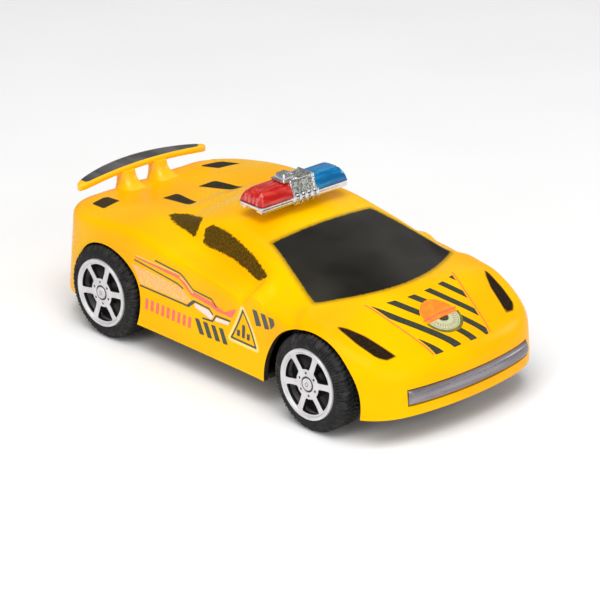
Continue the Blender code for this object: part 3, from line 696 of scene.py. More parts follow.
def dotted_ink():
    """Pale pink print broken up by small orange dots."""
    skin = Skin("ink_dotted", Coat_Weight=0.3, Coat_Roughness=0.15)
    dots, patch = skin.span(skin.cells(0.75), 0.25, 0.5), skin.noise(3.0, 3)
    pale = skin.tones(patch, 0.35, 0.65, srgb(255, 206, 120), srgb(250, 196, 150))
    colour = skin.mix(skin.times(dots, 0.75), pale, srgb(255, 176, 30))
    return skin.finish(colour, skin.span(patch, 0.3, 0.7, 0.3, 0.42), patch, 0.006)


def chrome():
    """Metallised plastic: bright, with a wavy skin and dull spots."""
    skin = Skin("chrome_plastic", Metallic=1.0)
    wave, spots = skin.noise(2.2, 3), skin.noise(0.5, 4, 0.7)
    colour = skin.tones(wave, 0.3, 0.7, scaled_colour(CHROME_TINT, 0.8), CHROME_TINT)
    ripple = skin.plus(wave, skin.times(spots, 0.15))
    return skin.finish(colour, skin.span(spots, 0.3, 0.75, 0.12, 0.32), ripple, 0.09)


def stippled_metal():
    """The darker panels of the centre cover: metallised plastic with a coarse stipple."""
    skin = Skin("stippled_metal", Metallic=0.6)
    cloud = skin.noise(0.7, 4, 0.65)
    colour = skin.tones(cloud, 0.4, 0.62, srgb(96, 98, 92), srgb(196, 198, 190))
    return skin.finish(colour, skin.span(cloud, 0.3, 0.7, 0.28, 0.45), skin.cells(0.42), 0.12)


def lens_plastic(name, deep, light):
    """Clear coloured plastic with lighter streaks painted along it as highlights from the ribs inside."""
    skin = Skin(name, Transmission_Weight=0.3, IOR=1.47, Specular_IOR_Level=0.3, Coat_Weight=0.35,
                Coat_Roughness=0.05)
    streak, cloud = skin.noise(2.0, 3, 0.6, stretch=(0.25, 1.6, 1.0)), skin.noise(3.5, 2)
    # The lighter colour of the streaks is painted highlight.
    base = skin.tones(streak, 0.4, 0.68, deep, light)
    colour = skin.mix(skin.span(cloud, 0.3, 0.8, 0.0, 0.4), base, deep)
    return skin.finish(colour, skin.span(cloud, 0.3, 0.7, 0.07, 0.2), streak, 0.05)


def rubber():
    """Soft black rubber with dust in the low spots and scuffs."""
    skin = Skin("tyre_rubber", Specular_IOR_Level=0.25)
    dust, fine = skin.noise(2.6, 4, 0.65), skin.noise(0.3, 3)
    colour = skin.tones(dust, 0.42, 0.7, srgb(24, 24, 25), srgb(54, 53, 51))
    return skin.finish(colour, skin.span(dust, 0.3, 0.7, 0.5, 0.72), skin.plus(fine, dust), 0.03)


def hub_silver():
    """Silver-white painted plastic with painted shade in its hollows and a fine metallic grain."""
    skin = Skin("wheel_silver", Metallic=0.35, Specular_IOR_Level=0.5)
    cloud, flake = skin.noise(4.0, 3), skin.noise(0.18, 2, 0.8)
    colour = skin.tones(cloud, 0.3, 0.7, srgb(206, 204, 206), srgb(222, 219, 221))
    # The hollows are painted greyer, as shade.
    hollow_shade = skin.pointed(0.40, 0.48, 1.0, 0.0)
    colour = skin.mix(skin.times(hollow_shade, 0.4), colour, srgb(120, 118, 120))
    colour = skin.mix(skin.span(flake, 0.45, 0.8, 0.0, 0.35), colour, srgb(190, 190, 196))
    return skin.finish(colour, skin.span(flake, 0.3, 0.7, 0.28, 0.42), flake, 0.012)


def brushed_steel(name, colour):
    """Steel drawn lengthwise, with slow stains."""
    skin = Skin(name, Metallic=1.0)
    lines, stain = skin.noise(0.25, 3, 0.7, stretch=(0.15, 1.0, 1.0)), skin.noise(3.0, 3)
    tones = skin.tones(stain, 0.35, 0.7, scaled_colour(colour, 0.8), colour)
    return skin.finish(tones, skin.span(lines, 0.3, 0.7, 0.22, 0.42), lines, 0.01)


def stamped_grey():
    """The nose strip: grey metallic foil, streaked along its length."""
    skin = Skin("grey_strip", Metallic=0.5)
    streak, spots = skin.noise(3.6, 2, 0.5, stretch=(0.1, 1.0, 1.4)), skin.noise(0.6, 3, 0.7)
    colour = skin.tones(streak, 0.32, 0.7, srgb(116, 110, 116), srgb(150, 145, 150))
    grain = skin.plus(streak, skin.times(spots, 0.1))
    return skin.finish(colour, skin.span(spots, 0.3, 0.7, 0.26, 0.42), grain, 0.008)


def sticker_grey():
    """The wing's dark grey sticker, with a faint sheen painted into its colour in bands."""
    skin = Skin("wing_sticker", Specular_IOR_Level=0.5, Coat_Weight=0.2, Coat_Roughness=0.25)
    sheen_band, fine = skin.noise(5.0, 2, 0.5, stretch=(1.0, 0.3, 1.0)), skin.noise(0.4, 3)
    # The lighter bands are painted sheen.
    colour = skin.tones(sheen_band, 0.35, 0.65, srgb(58, 56, 58), srgb(92, 90, 90))
    return skin.finish(colour, skin.span(fine, 0.3, 0.7, 0.36, 0.5), fine, 0.008)


# ---- body shell

SIDE_TILT = (0.8, -0.6)  # the side windows are drawn on a plane leaning in by this share of z and of |x|
SCREEN_TOP = (20.6, -12.0)
SCREEN_FOOT = (28.6, -38.8)
SCREEN_BOW = 9.2
FRONT_GLASS = [(11.2, 15.0), (12.6, 19.4), (10.3, 20.9), (4.2, 20.9), (-3.6, 19.3), (-11.3, 16.9),
               (-17.7, 13.8), (-19.3, 13.0), (-15.7, 10.8), (-10.0, 12.5), (-4.0, 13.9), (3.1, 14.5),
               (7.6, 14.4)]
QUARTER_GLASS = [(32.8, 19.0), (32.3, 20.5), (27.4, 22.0), (17.0, 22.0), (15.6, 18.6), (15.6, 15.4),
                 (20.1, 16.4), (26.5, 17.2)]
LAMP = [(31.2, -49.9), (30.8, -53.0), (30.2, -58.5), (28.6, -64.5), (26.4, -66.6), (22.8, -67.0),
        (26.0, -57.5), (28.8, -52.6)]
INNER_VENT = [(4.3, 48.9), (10.9, 48.4), (11.0, 34.6), (7.6, 35.6)]
OUTER_VENT = [(19.4, 65.2), (27.0, 63.2), (28.6, 55.5), (20.6, 57.2)]
UNPAINTED = 50.0


def screen_outline():
    top_x, top_y = SCREEN_TOP
    foot_x, foot_y = SCREEN_FOOT
    stations = np.linspace(foot_x, -foot_x, 17)
    bottom = [(x, foot_y - SCREEN_BOW + SCREEN_BOW * (x / foot_x) ** 2) for x in stations]
    return [(-top_x, top_y), (top_x, top_y), *bottom]


def paint_distances(points):
    """For each painted area, every point's distance to its outline."""
    x, y, z = points.T
    across = np.abs(x)
    outside = body_field(x, y, z) > -0.4
    lean = z * SIDE_TILT[0] + across * SIDE_TILT[1]
    on_side = outside & (across > 15) & (z > 33)
    on_top = outside & (z > 20)
    side_glass = union(polygon_distance(y, lean, FRONT_GLASS), polygon_distance(y, lean, QUARTER_GLASS))
    vents = union(polygon_distance(across, y, INNER_VENT), polygon_distance(across, y, OUTER_VENT))
    return {
        "screen": np.where(on_top, polygon_distance(x, y, screen_outline()), UNPAINTED),
        "side_glass": np.where(on_side, side_glass, UNPAINTED),
        "lamp": np.where(on_top, polygon_distance(across, y, LAMP), UNPAINTED),
        "vent": np.where(on_top & (y > 20), vents, UNPAINTED),
    }


def nose_slot():
    """The groove's cutter: a band across the nose that reaches past its face."""
    half_length, height = STRIP_HALF + GAP, STRIP_HEIGHT + 2 * GAP
    stations = STRIP_X + np.linspace(-half_length, half_length, 49)
    inner = [(x, float(nose_y(x)) + GROOVE_DEPTH + GAP) for x in stations]
    outer = [(x, float(nose_y(x)) - 3.0) for x in reversed(stations)]
    return extrude(inner + outer, STRIP_Z - height / 2, STRIP_Z + height / 2, "Z")


def arch_cutters():
    cutters = []
    for arch_y, arch_z, radius in ARCHES:
        for side in (-1, 1):
            span = sorted((side * ARCH_X[0], side * ARCH_X[1]))
            cutters.append(extrude(circle((arch_y, arch_z), radius, 96), *span, "X"))
    return cutters


def paint_arch_shade(mesh):
    """Gives the cut edges of the wheel arches the second material, a dark brown painted as the shade inside
    the arches.
    """
    for face in mesh.polygons:
        y, z = face.center.y / MM - CAR_SHIFT_Y, face.center.z / MM
        if abs(face.center.x) < ARCH_X[0] * MM or abs(face.normal.x) > 0.3 or face.normal.z < -0.99:
            continue
        for arch_y, arch_z, radius in ARCHES:
            if abs(math.hypot(y - arch_y, z - arch_z) - radius) < 0.1:
                face.material_index = 1


def store(mesh, name, distances):
    """Keeps a painted area's distances on the mesh, one per point."""
    mesh.attributes.new(name, "FLOAT", "POINT").data.foreach_set("value", distances.astype(np.float32))


def boss_shape(x, y):
    """A tube under the body's top that takes a screw from below."""
    foot = SILL_Z + 0.2
    roof = min(float(top_points(x, y + edge)[2]) for edge in (-BOSS_RADIUS, BOSS_RADIUS)) - 0.7
    profile = [(foot, BOSS_BORE), (foot, BOSS_RADIUS - 0.2), (foot + 0.3, BOSS_RADIUS), (roof, BOSS_RADIUS),
               (roof, BOSS_BORE)]
    points, faces = lathe_x(profile, 32)
    return [(x + a, y + b, c) for c, a, b in points], faces


def build_body():
    skin = body_paint()
    body = mesh_object("shell", shell_solid(body_grid(0.0), body_grid(-WALL)), [skin], 40)
    carve(body, joined(nose_slot(), *arch_cutters()))
    mesh = body.data
    # The arch edges' dark brown is painted shade over the yellow wall.
    mesh.materials.append(moulded("arch_edge_painted_shade", srgb(44, 30, 18), 0.6))
    paint_arch_shade(mesh)
    points = np.empty(len(mesh.vertices) * 3)
    mesh.vertices.foreach_get("co", points)
    painted = paint_distances(points.reshape(-1, 3) / MM - (0, CAR_SHIFT_Y, 0))
    for name, distances in painted.items():
        store(mesh, name, distances)
    mesh.set_sharp_from_angle(angle=math.radians(40))
    for x, y in BODY_SCREWS:
        boss = mesh_object(f"boss_{x:.0f}_{y:.0f}", boss_shape(x, y), [skin])
        for name in painted:
            store(boss.data, name, np.full(len(boss.data.vertices), UNPAINTED))
        settle(boss, "car_body")
    settle(body, "car_body", ["body_shell"])


# ---- printed decals

TRIANGLE = [(-16.4, 28.6), (-10.9, 17.8), (-22.5, 17.8)]
BARS = [
    [(5.2, 19.0), (3.3, 19.1), (0.4, 14.9), (2.5, 14.7)],
    [(1.6, 19.0), (-0.4, 19.1), (-3.1, 14.9), (-1.1, 14.7)],
    [(-2.0, 19.1), (-3.9, 19.2), (-6.6, 15.0), (-4.6, 14.8)],
    [(-5.5, 19.2), (-7.3, 19.3), (-10.0, 15.1), (-8.0, 14.9)],
    [(-20.9, 30.2), (-22.9, 30.3), (-24.4, 25.7), (-22.0, 25.1)],
    [(-24.5, 30.2), (-26.6, 30.2), (-28.2, 26.0), (-26.0, 25.4)],
    [(-28.1, 30.1), (-30.3, 30.1), (-31.0, 28.4), (-28.9, 26.2)],
]
RED_BAND = [(31.5, 31.2), (11.7, 30.9), (9.2, 30.2), (6.0, 27.2), (-2.6, 26.4), (-8.0, 24.9), (-13.4, 27.8),
            (-12.8, 26.4), (-11.0, 24.0), (-4.4, 24.0), (-1.4, 24.9), (7.0, 25.7), (11.6, 29.6), (31.5, 30.8)]
PALE_BAND = [(33.8, 28.2), (12.3, 27.0), (9.8, 25.8), (7.2, 23.9), (8.6, 22.3), (30.2, 22.5)]
WHITE_BLOCKS = [
    [(5.6, 23.6), (-0.5, 23.3), (-3.1, 22.0), (-2.0, 20.6), (5.3, 22.3)],
    [(-4.1, 21.9), (-10.0, 22.3), (-9.6, 21.2), (-3.7, 20.7)],
]
SIGN_BARS = ((-13.5, 21.2), (-15.7, 23.4), (-17.9, 21.2))  # each bar's front edge and top
# Pale lines along the red band's top edge, painted highlights drawn in the pale ink, each as a path and a
# half width.
SHINE = (([(11.2, 30.4), (9.0, 29.6), (6.1, 26.8)], 0.22), ([(31.0, 31.7), (12.0, 31.3)], 0.15))
DARK_LINES = (
    ([(22.0, 32.6), (11.0, 31.8), (9.6, 31.1), (5.7, 27.9), (-2.5, 27.4), (-4.3, 25.5)], 0.26),
    ([(31.8, 29.9), (12.7, 27.8), (10.4, 26.9)], 0.26),
    ([(30.1, 21.8), (8.5, 21.7), (5.6, 24.2), (-1.1, 23.8), (-2.6, 22.4)], 0.27),
    ([(8.3, 21.9), (5.8, 24.0)], 0.5),
    ([(1.7, 19.9), (-2.7, 20.3), (-4.1, 22.5), (-10.3, 22.7)], 0.27),
)
SIDE_LIFT = 0.03
HOOD_LIFT = 0.04
LAYER_STEP = 0.012
INK_TONES = {  # two shades and the size of the grain
    "ink_black": ((40, 44, 34), (60, 62, 48), 0.5),
    "ink_green_black": ((38, 46, 26), (58, 62, 40), 0.5),
    "ink_red": ((250, 92, 60), (240, 116, 88), 0.5),
    "ink_white": ((250, 232, 222), (244, 214, 206), 0.5),
    "ink_pale_and_shine": ((255, 226, 120), (255, 214, 100), 0.5),
    "ink_orange": ((255, 148, 10), (252, 124, 24), 2.5),
    "ink_badge": ((186, 196, 150), (206, 204, 170), 0.8),
    "ink_ticks": ((140, 142, 96), (196, 150, 118), 0.5),
    "ink_olive": ((96, 98, 24), (130, 122, 30), 1.2),
    "ink_dark_brown": ((50, 42, 18), (90, 62, 20), 0.5),
}


def side_layers(y, z):
    """The side decal's inks, lowest first, as distances on the plane of the side."""
    sign = polygon_distance(y, z, TRIANGLE)
    shine = [line_distance(y, z, *line) for line in SHINE]
    heap = [polygon_distance(y, z, [(a, 19.3), (a, b), (a - 1.3, b), (a - 1.3, 19.3)]) for a, b in SIGN_BARS]
    dashes = [polygon_distance(y, z, [(a, 14.9), (a, 18.7), (a - 1.7, 18.7), (a - 1.7, 14.9)]) + 0.15
              for a in np.linspace(27.6, 8.2, 9)]
    return (
        ("ink_dotted", polygon_distance(y, z, PALE_BAND)),
        ("ink_red", union(polygon_distance(y, z, RED_BAND), *dashes)),
        # The pale ink holds the triangle's printed border and the painted highlight lines of SHINE.
        ("ink_pale_and_shine", union(overlap(sign - 1.05, 0.1 - sign), *shine)),
        ("ink_white", union(*[polygon_distance(y, z, block) for block in WHITE_BLOCKS])),
        ("ink_black", union(np.abs(sign + 0.2) - 0.3, *heap, *[polygon_distance(y, z, bar) for bar in BARS],
                            *[line_distance(y, z, *line) for line in DARK_LINES])),
    )


BADGE_AT = (0.4, -62.0)
BADGE_RADIUS = 6.3
HOOD_SLOPE = 1.12  # length along the hood over length in plan
STRIPE_PITCH = 6.85
STRIPE_LEAN = -0.745  # a stripe's step in x over its step in y
STRIPE_HALF = 1.42
V_TOP = (18.0, -49.3)
V_FOOT = (11.8, -70.9)


def hood_layers(x, y):
    """The hood decal's inks, lowest first: slanted stripes inside a V, and a plain round badge."""
    (top_x, top_y), (foot_x, foot_y) = V_TOP, V_FOOT
    lean = (top_x - foot_x) / (top_y - foot_y)
    v_edge = (np.abs(x) - foot_x - lean * (y - foot_y)) / math.hypot(1, lean)
    window = overlap(v_edge + 0.75, y - (-52.7 + 0.0085 * x * x), (-71.7 + 0.004 * x * x) - y)
    start = x - STRIPE_LEAN * (y + 52.0) + 17.0
    offset = np.abs((start / STRIPE_PITCH + 0.5) % 1 - 0.5) * STRIPE_PITCH
    stripes = (offset - STRIPE_HALF) / math.hypot(1, STRIPE_LEAN)
    badge_x, badge_y = x - BADGE_AT[0], (y - BADGE_AT[1]) * HOOD_SLOPE
    from_badge = np.hypot(badge_x, badge_y)
    upper = -0.8 - badge_y + 0.06 * badge_x
    cap = overlap(np.hypot(badge_x, badge_y * 0.92) - BADGE_RADIUS, upper)
    brim = line_distance(badge_x, badge_y, [(-6.6, 0.4), (6.9, 1.1)], 0.3)
    ring = overlap(from_badge - BADGE_RADIUS + 0.4, -upper)
    hub = overlap(np.hypot(badge_x, badge_y + 0.6) - 1.9, -upper)
    turn = np.arctan2(badge_y + 0.6, badge_x)
    tick = np.abs((turn * 16 / math.pi) % 1 - 0.5) * math.pi / 16 * from_badge - 0.16
    ticks = overlap(tick, np.abs(np.hypot(badge_x, badge_y + 0.6) - 3.9) - 0.7, -upper, ring)
    circles = overlap(np.abs(np.hypot(badge_x, badge_y + 0.6) - 5.0) - 0.12, -upper, ring)
    edge_line = overlap(np.abs(v_edge) - 0.17, y - top_y - 0.3, foot_y - 0.2 - y)
    shade = overlap(from_badge - BADGE_RADIUS - 0.55, -upper - 0.3)
    return (
        ("ink_green_black", overlap(window, stripes, BADGE_RADIUS + 0.4 - from_badge)),
        ("ink_olive", shade),
        ("ink_badge", ring),
        ("ink_ticks", union(ticks, circles)),
        ("ink_orange", cap),
        ("ink_red", union(edge_line, brim)),
        ("ink_dark_brown", hub),
    )


def inks():
    skins = {name: ink(name, *tones) for name, tones in INK_TONES.items()}
    return {**skins, "ink_dotted": dotted_ink()}


def lay_decal(name, base, lift, flip, layers, skins):
    """Lays a decal's inks over a grid of surface points, each a little above the one below."""
    out = slope_of(base[..., 0], base[..., 1], base[..., 2])
    for level, (skin, distance) in enumerate(layers):
        points = base + out * (lift + LAYER_STEP * level)
        shape = clipped(points[flip], distance[flip])
        decal = mesh_object(f"{name}_{skin}", shape, [skins[skin]], 60, closed=False)
        settle(decal, "car_body")


def build_decals():
    skins = inks()
    y, z = np.meshgrid(np.linspace(35, -32, 270), np.linspace(13.5, 34, 84), indexing="ij")
    for side, name in ((1, "side_left"), (-1, "side_right")):
        flip = slice(None, None, side)
        lay_decal(name, side_points(y, z, side), SIDE_LIFT, flip, side_layers(y, z), skins)
    x, y = np.meshgrid(np.linspace(-19, 19, 190), np.linspace(-73, -48.5, 140), indexing="ij")
    lay_decal("hood", top_points(x, y), HOOD_LIFT, slice(None, None, -1), hood_layers(x, y), skins)


# ---- wing

WING_HALF = 26.4
BLADE_THICK = 2.2


def wing_line(x):
    """The blade's middle, half chord and top at each x."""
    bow = 1 - (x / WING_HALF) ** 2
    tip = np.sqrt(np.clip(1 - np.abs(x / WING_HALF) ** 16, 0, 1))
    return 70.3 + 3.3 * bow, (1.9 + 1.9 * bow) * tip, 40.7 + 1.3 * (1 - (x / 26.0) ** 2)


def swollen(value, power):
    """A sine or cosine raised to a power with its sign kept, which squares off a circle."""
    return math.copysign(abs(value) ** power, value)


def blade_shape():
    stations = WING_HALF * np.sin(np.linspace(-math.pi / 2, math.pi / 2, 81))
    turns = np.linspace(0, 2 * math.pi, 28, endpoint=False)
    points = []
    for x in stations:
        middle, half_chord, top = (float(v) for v in wing_line(x))
        half_chord = max(half_chord, 0.05)
        thick = BLADE_THICK / 2 * min(1.0, half_chord / 0.8)
        for turn in turns:
            u, w = swollen(math.cos(turn), 0.45), swollen(math.sin(turn), 0.55)
            points.append((x, middle + half_chord * u, top - BLADE_THICK / 2 + thick * w))
    return points, tube_faces(len(stations), len(turns))


def post_shape(side):
    """A post that flares smoothly into the deck."""
    points = []
    levels, count = 16, 36
    for i in range(levels):
        share = i / (levels - 1)
        flare = (1 - share) ** 3
        half_x = 2.5 + 1.9 * flare
        front = POST_Y - 1.2 - 3.4 * flare - 1.2 * (1 - share)
        rear = POST_Y + 4.2 - 0.4 * (1 - share)
        for j in range(count):
            turn = 2 * math.pi * j / count
            x = side * POST_X + half_x * swollen(math.cos(turn), 0.6)
            y = (front + rear) / 2 + (rear - front) / 2 * swollen(math.sin(turn), 0.6)
            foot = float(top_points(x, min(y, 72.5))[2]) - 0.15
            points.append((x, y, foot + (POST_TOP - foot) * share))
    return points, tube_faces(levels, count)


def wing_sticker_shape():
    """The sticker on the blade's top, set back from its front edge."""
    x, share = np.meshgrid(np.linspace(-23.6, 24.2, 90), np.linspace(0, 1, 9), indexing="ij")
    middle, half_chord, top = wing_line(x)
    slant = np.clip((np.abs(x) - 22.6) / 1.6, 0, 1)
    front = middle - half_chord + 0.9 + slant * 0.8
    rear = middle + half_chord - 0.35
    y = front + (rear - front) * share
    across = np.clip((y - middle) / half_chord, -1, 1)
    z = top - BLADE_THICK / 2 + BLADE_THICK / 2 * np.sqrt(1 - np.abs(across) ** 4.4) ** 0.55 + SIDE_LIFT
    points = [tuple(p) for p in np.stack([x, y, z], axis=-1).reshape(-1, 3)]
    return points, [face[::-1] for face in grid_faces(*x.shape)]


def build_wing(skin):
    wing = mesh_object("wing", joined(blade_shape(), post_shape(-1), post_shape(1)), [skin], 50)
    settle(wing, "car_body", ["rear_wing"])
    sticker = mesh_object("wing_sticker", wing_sticker_shape(), [sticker_grey()], 60, closed=False)
    settle(sticker, "car_body")


# ---- nose strip


def build_strip():
    stations = np.linspace(-STRIP_HALF, STRIP_HALF, 97)
    rounds = 15
    points = []
    for along in stations:
        x = STRIP_X + along
        end = 1 - max(0.0, (abs(along) - STRIP_HALF + 0.5) / 0.5) ** 2 * 0.3
        for i in range(rounds):
            turn = math.pi * i / (rounds - 1)
            depth = GROOVE_DEPTH - (GROOVE_DEPTH + STRIP_PROUD) * math.sin(turn) ** 0.8 * end
            points.append((x, float(nose_y(x)) + depth, STRIP_Z - STRIP_HEIGHT / 2 * math.cos(turn)))
    strip = mesh_object("nose_strip", (points, tube_faces(len(stations), rounds)), [stamped_grey()], 45)
    settle(strip, "car_body", ["front_lamp_strip"])


# ---- light bar

TRAY_HALF = 18.0
TRAY_Y = (-5.2, 5.3)
TRAY_Z = (50.0, 52.0)
LENS_FLOOR = 52.3
LENS_TOP = 56.4
LENS_RIBS = 7
RIDGE_XS = (-4.6, -2.3, 0.0, 2.3, 4.6)


def rounded_rectangle(half_x, y0, y1, radius):
    outline = []
    count = 6
    corners = ((half_x - radius, y1 - radius, 0), (-half_x + radius, y1 - radius, 1),
               (-half_x + radius, y0 + radius, 2), (half_x - radius, y0 + radius, 3))
    for x, y, quarter in corners:
        for i in range(count + 1):
            turn = math.pi / 2 * (quarter + i / count)
            outline.append((x + radius * math.cos(turn), y + radius * math.sin(turn)))
    return outline


def build_block(name, shape, skin, width, segments=2):
    """A chromed piece of the light bar with its edges rounded."""
    piece = mesh_object(name, shape, [skin])
    soften(piece, width, segments)
    return piece


def build_tray(skin):
    y0, y1 = TRAY_Y
    floor, rim = TRAY_Z
    plate = extrude(rounded_rectangle(TRAY_HALF, y0, y1, 1.0), floor + 0.9, rim, "Z")
    tray = mesh_object("lightbar_tray", plate, [skin])
    lip = rounded_rectangle(TRAY_HALF - 0.9, y0 + 0.7, y1 - 0.7, 0.7)
    carve(tray, extrude(lip, rim - 0.45, rim + 1, "Z"))
    soften(tray, 0.16)
    under = box((0.3 - TRAY_HALF, TRAY_HALF - 0.3), (y0 + 0.3, y1 - 0.3), (floor, floor + 1.0))
    skirt = mesh_object("lightbar_skirt", under, [skin])
    notches = [box(sorted((side * 15.4, side * 20.0)), (-2.4, 2.4), (49.0, 51.4)) for side in (-1, 1)]
    carve(skirt, joined(*notches))
    soften(skirt, 0.2)
    stem = frustum((-1.6, 2.8, -2.0, 2.4, 47.5), (-1.4, 2.6, -1.8, 2.2, 50.2))
    foot = build_block("lightbar_foot", stem, skin, 0.3)
    ridges = []
    for x in RIDGE_XS:
        root = (x - 0.65, x + 0.65, y0 - 0.55, y0 + 0.6, floor - 0.1)
        ridges.append(frustum(root, (x - 0.55, x + 0.55, y0 - 0.3, y0 + 0.6, rim + 1.0)))
    ridge = build_block("lightbar_ridges", joined(*ridges), skin, 0.2)
    for piece in (tray, skirt, foot, ridge):
        settle(piece, "car_body")
    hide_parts("lightbar_base")


def lens_shape(side):
    """A pillow-shaped cover, upright at its inner end and rounded at its outer end, ribbed lengthwise."""
    inner, outer, front, rear = 4.95, 17.4, -4.9, 5.0
    tall = LENS_TOP - LENS_FLOOR
    us = np.sin(np.linspace(0, math.pi / 2, 34))
    vs = np.sin(np.linspace(-math.pi / 2, math.pi / 2, 61))
    points = []
    for u in us:
        length = max(0.0, 1 - u**11) ** 0.42
        for v in vs:
            across = max(0.0, 1 - abs(v) ** 4.2) ** 0.5
            rib = 0.09 * math.cos(v * math.pi * LENS_RIBS) * min(1.0, 4 * across * length)
            height = tall * length * across + rib
            lean = 0.3 * (height / tall) ** 2
            y = (front + rear) / 2 + (rear - front) / 2 * v * (1 - 0.4 * lean)
            points.append((side * (inner + (outer - inner) * u), y, LENS_FLOOR + max(0.0, height)))
    rows, columns = len(us), len(vs)
    faces = grid_faces(rows, columns)
    floor = len(points)
    points += [(x, y, LENS_FLOOR - 0.25) for x, y, _ in points]
    faces += [tuple(floor + k for k in face[::-1]) for face in faces]
    rim = grid_rim(rows, columns)
    for start, end in zip(rim, [*rim[1:], rim[0]], strict=True):
        faces.append((start, floor + start, floor + end, end))
    return points, faces


def build_lenses():
    red = lens_plastic("red_lens", srgb(208, 18, 12), srgb(244, 84, 72))
    blue = lens_plastic("blue_lens", srgb(0, 108, 172), srgb(0, 164, 222))
    for name, side, clear in (("red_lens", -1, red), ("blue_lens", 1, blue)):
        cover = mesh_object(name + "_cover", lens_shape(side), [clear], 40)
        settle(cover, "car_body", [name])
    knobs = []
    for y in (-2.6, -0.9, 0.8, 2.5):
        root = (-17.75, -16.0, y - 0.55, y + 0.55, LENS_FLOOR - 0.1)
        knobs.append(frustum(root, (-17.45, -16.0, y - 0.4, y + 0.4, 54.6)))
    # The end ribs get a paler red copy of the lens, painted as the highlights on them.
    highlight_red = lens_plastic("red_rib_painted_highlight", srgb(230, 60, 60), srgb(255, 150, 150))
    settle(build_block("red_lens_end_ribs", joined(*knobs), highlight_red, 0.15), "car_body")


def build_centre_cover(skin):
    low, high = (-4.5, 4.5, -5.0, 5.1, LENS_FLOOR), (-4.5, 4.5, -3.0, 3.1, 57.0)
    block = mesh_object("centre_cover", frustum(low, high), [skin, stippled_metal()])
    work = bmesh.new()
    work.from_mesh(block.data)
    panels = [face for face in work.faces if face.normal.z > 0.15 and abs(face.normal.x) < 0.3]
    for panel in panels:
        bmesh.ops.inset_region(work, faces=[panel], thickness=0.55 * MM, depth=-0.2 * MM)
        panel.material_index = 1
    work.to_mesh(block.data)
    work.free()
    soften(block, 0.14)
    collars = []
    for side in (-1, 1):
        ends = sorted((side * 4.35, side * 4.95))
        collars.append(frustum((*ends, -5.1, 5.2, LENS_FLOOR), (*ends, -3.15, 3.25, 57.2)))
    collar = build_block("centre_collars", joined(*collars), skin, 0.15)
    brim = frustum((-7.3, -1.9, -3.2, 2.2, 56.5), (-7.6, -1.6, -3.5, 2.5, 57.3))
    lid = frustum((-6.8, -2.4, -2.7, 1.7, 57.1), (-6.3, -2.9, -2.2, 1.2, 59.0))
    brim, lid = build_block("raised_brim", brim, skin, 0.25, 3), build_block("raised_box", lid, skin, 0.35, 3)
    for piece in (block, collar, brim, lid):
        settle(piece, "car_body")
    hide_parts("lightbar_centre_cover")


# ---- wheels

# Profiles as (x, radius) points.
OUTER_WALL = [(30.5, 10.9), (38.0, 10.9), (38.25, 11.3), (38.3, 12.0), (38.15, 12.3), (38.2, 12.5),
              (38.2, 12.9), (38.05, 13.4), (37.8, 13.9), (37.4, 14.45), (36.9, 14.8), (36.3, 15.0)]
INNER_WALL = [(29.1, 14.9), (28.5, 14.5), (28.0, 13.9), (27.7, 13.2), (27.6, 12.6), (27.9, 11.4)]
FACE_PROFILE = [(38.4, 0), (38.4, 1.75), (38.3, 1.85), (37.95, 1.9), (37.95, 2.35), (38.15, 2.45),
                (38.2, 3.2), (38.05, 4.4), (38.0, 6.5), (38.1, 9.2), (38.2, 9.55), (38.65, 9.85),
                (HUB_FACE_X, 10.1), (HUB_FACE_X, 10.6), (38.65, 10.8), (38.2, RIM_RADIUS),
                (33.0, RIM_RADIUS), (33.0, 10.2), (36.6, 9.9), (36.9, 9.2), (36.9, 0)]
HUB_PROFILE = [(28.4, 1.35), (28.4, 10.1), (30.0, 10.6), (33.2, 10.6), (34.6, 10.1), (35.2, 8.6),
               (35.0, 4.6), (36.7, 3.2), (36.7, 1.35)]


def tyre_shape():
    """A tyre with three grooves round its tread, slanted lugs and ribbed shoulders."""
    profile = [*OUTER_WALL, *[(float(x), TYRE_RADIUS) for x in np.linspace(35.8, 29.6, 22)], *INNER_WALL]
    points = []
    for x, radius in profile:
        on_tread = 29.4 < x < 36.5 and radius > 14.9
        on_shoulder = radius > 13.3 and not on_tread
        rib_depth = 0.3 * float(ease(radius, 11.5, 12.3)) if x > 36.5 else 0.0
        for j in range(TYRE_SEGMENTS):
            turn = 2 * math.pi * j / TYRE_SEGMENTS
            share = turn / (2 * math.pi)
            cut = 0.0
            if on_tread:
                cut = 0.4 * lug(share * TREAD_PITCHES + abs(x - 32.8) * 0.22)
                if min(abs(x - groove) for groove in TREAD_GROOVES) < 0.2:
                    cut = 0.45
            elif on_shoulder:
                cut = 0.3 * lug(share * TREAD_PITCHES + 0.66) * min(1.0, (radius - 13.2) / 0.6)
            r = radius - cut
            points.append((x - rib_depth * lug(share * SIDE_RIBS), r * math.cos(turn), r * math.sin(turn)))
    return points, grid_faces(len(profile), TYRE_SEGMENTS, close_rows=True, close_columns=True)


def lug(phase):
    """1 in the gap between two lugs and 0 on a lug, with short slopes."""
    wave = math.cos(2 * math.pi * phase)
    return min(1.0, max(0.0, wave * 1.6 + 0.1))


def wheel_window(middle):
    """The outline of one window: a rounded trapezoid, wider at the rim."""
    outline = []
    for radius, order in ((WINDOW_INNER, 1), (WINDOW_OUTER, -1)):
        half = math.radians(180 / WINDOW_COUNT) - SPOKE_HALF / radius
        turns = np.linspace(-half, half, 9)[::order]
        outline += [(radius * math.cos(middle + t), radius * math.sin(middle + t)) for t in turns]
    return rounded(outline, 3)


def rounded(outline, passes):
    """Cuts the outline's corners a few times over, which rounds them."""
    for _ in range(passes):
        smooth = []
        for (u0, v0), (u1, v1) in zip(outline, [*outline[1:], outline[0]], strict=True):
            for near, far in ((0.78, 0.22), (0.22, 0.78)):
                smooth.append((near * u0 + far * u1, near * v0 + far * v1))
        outline = smooth
    return outline


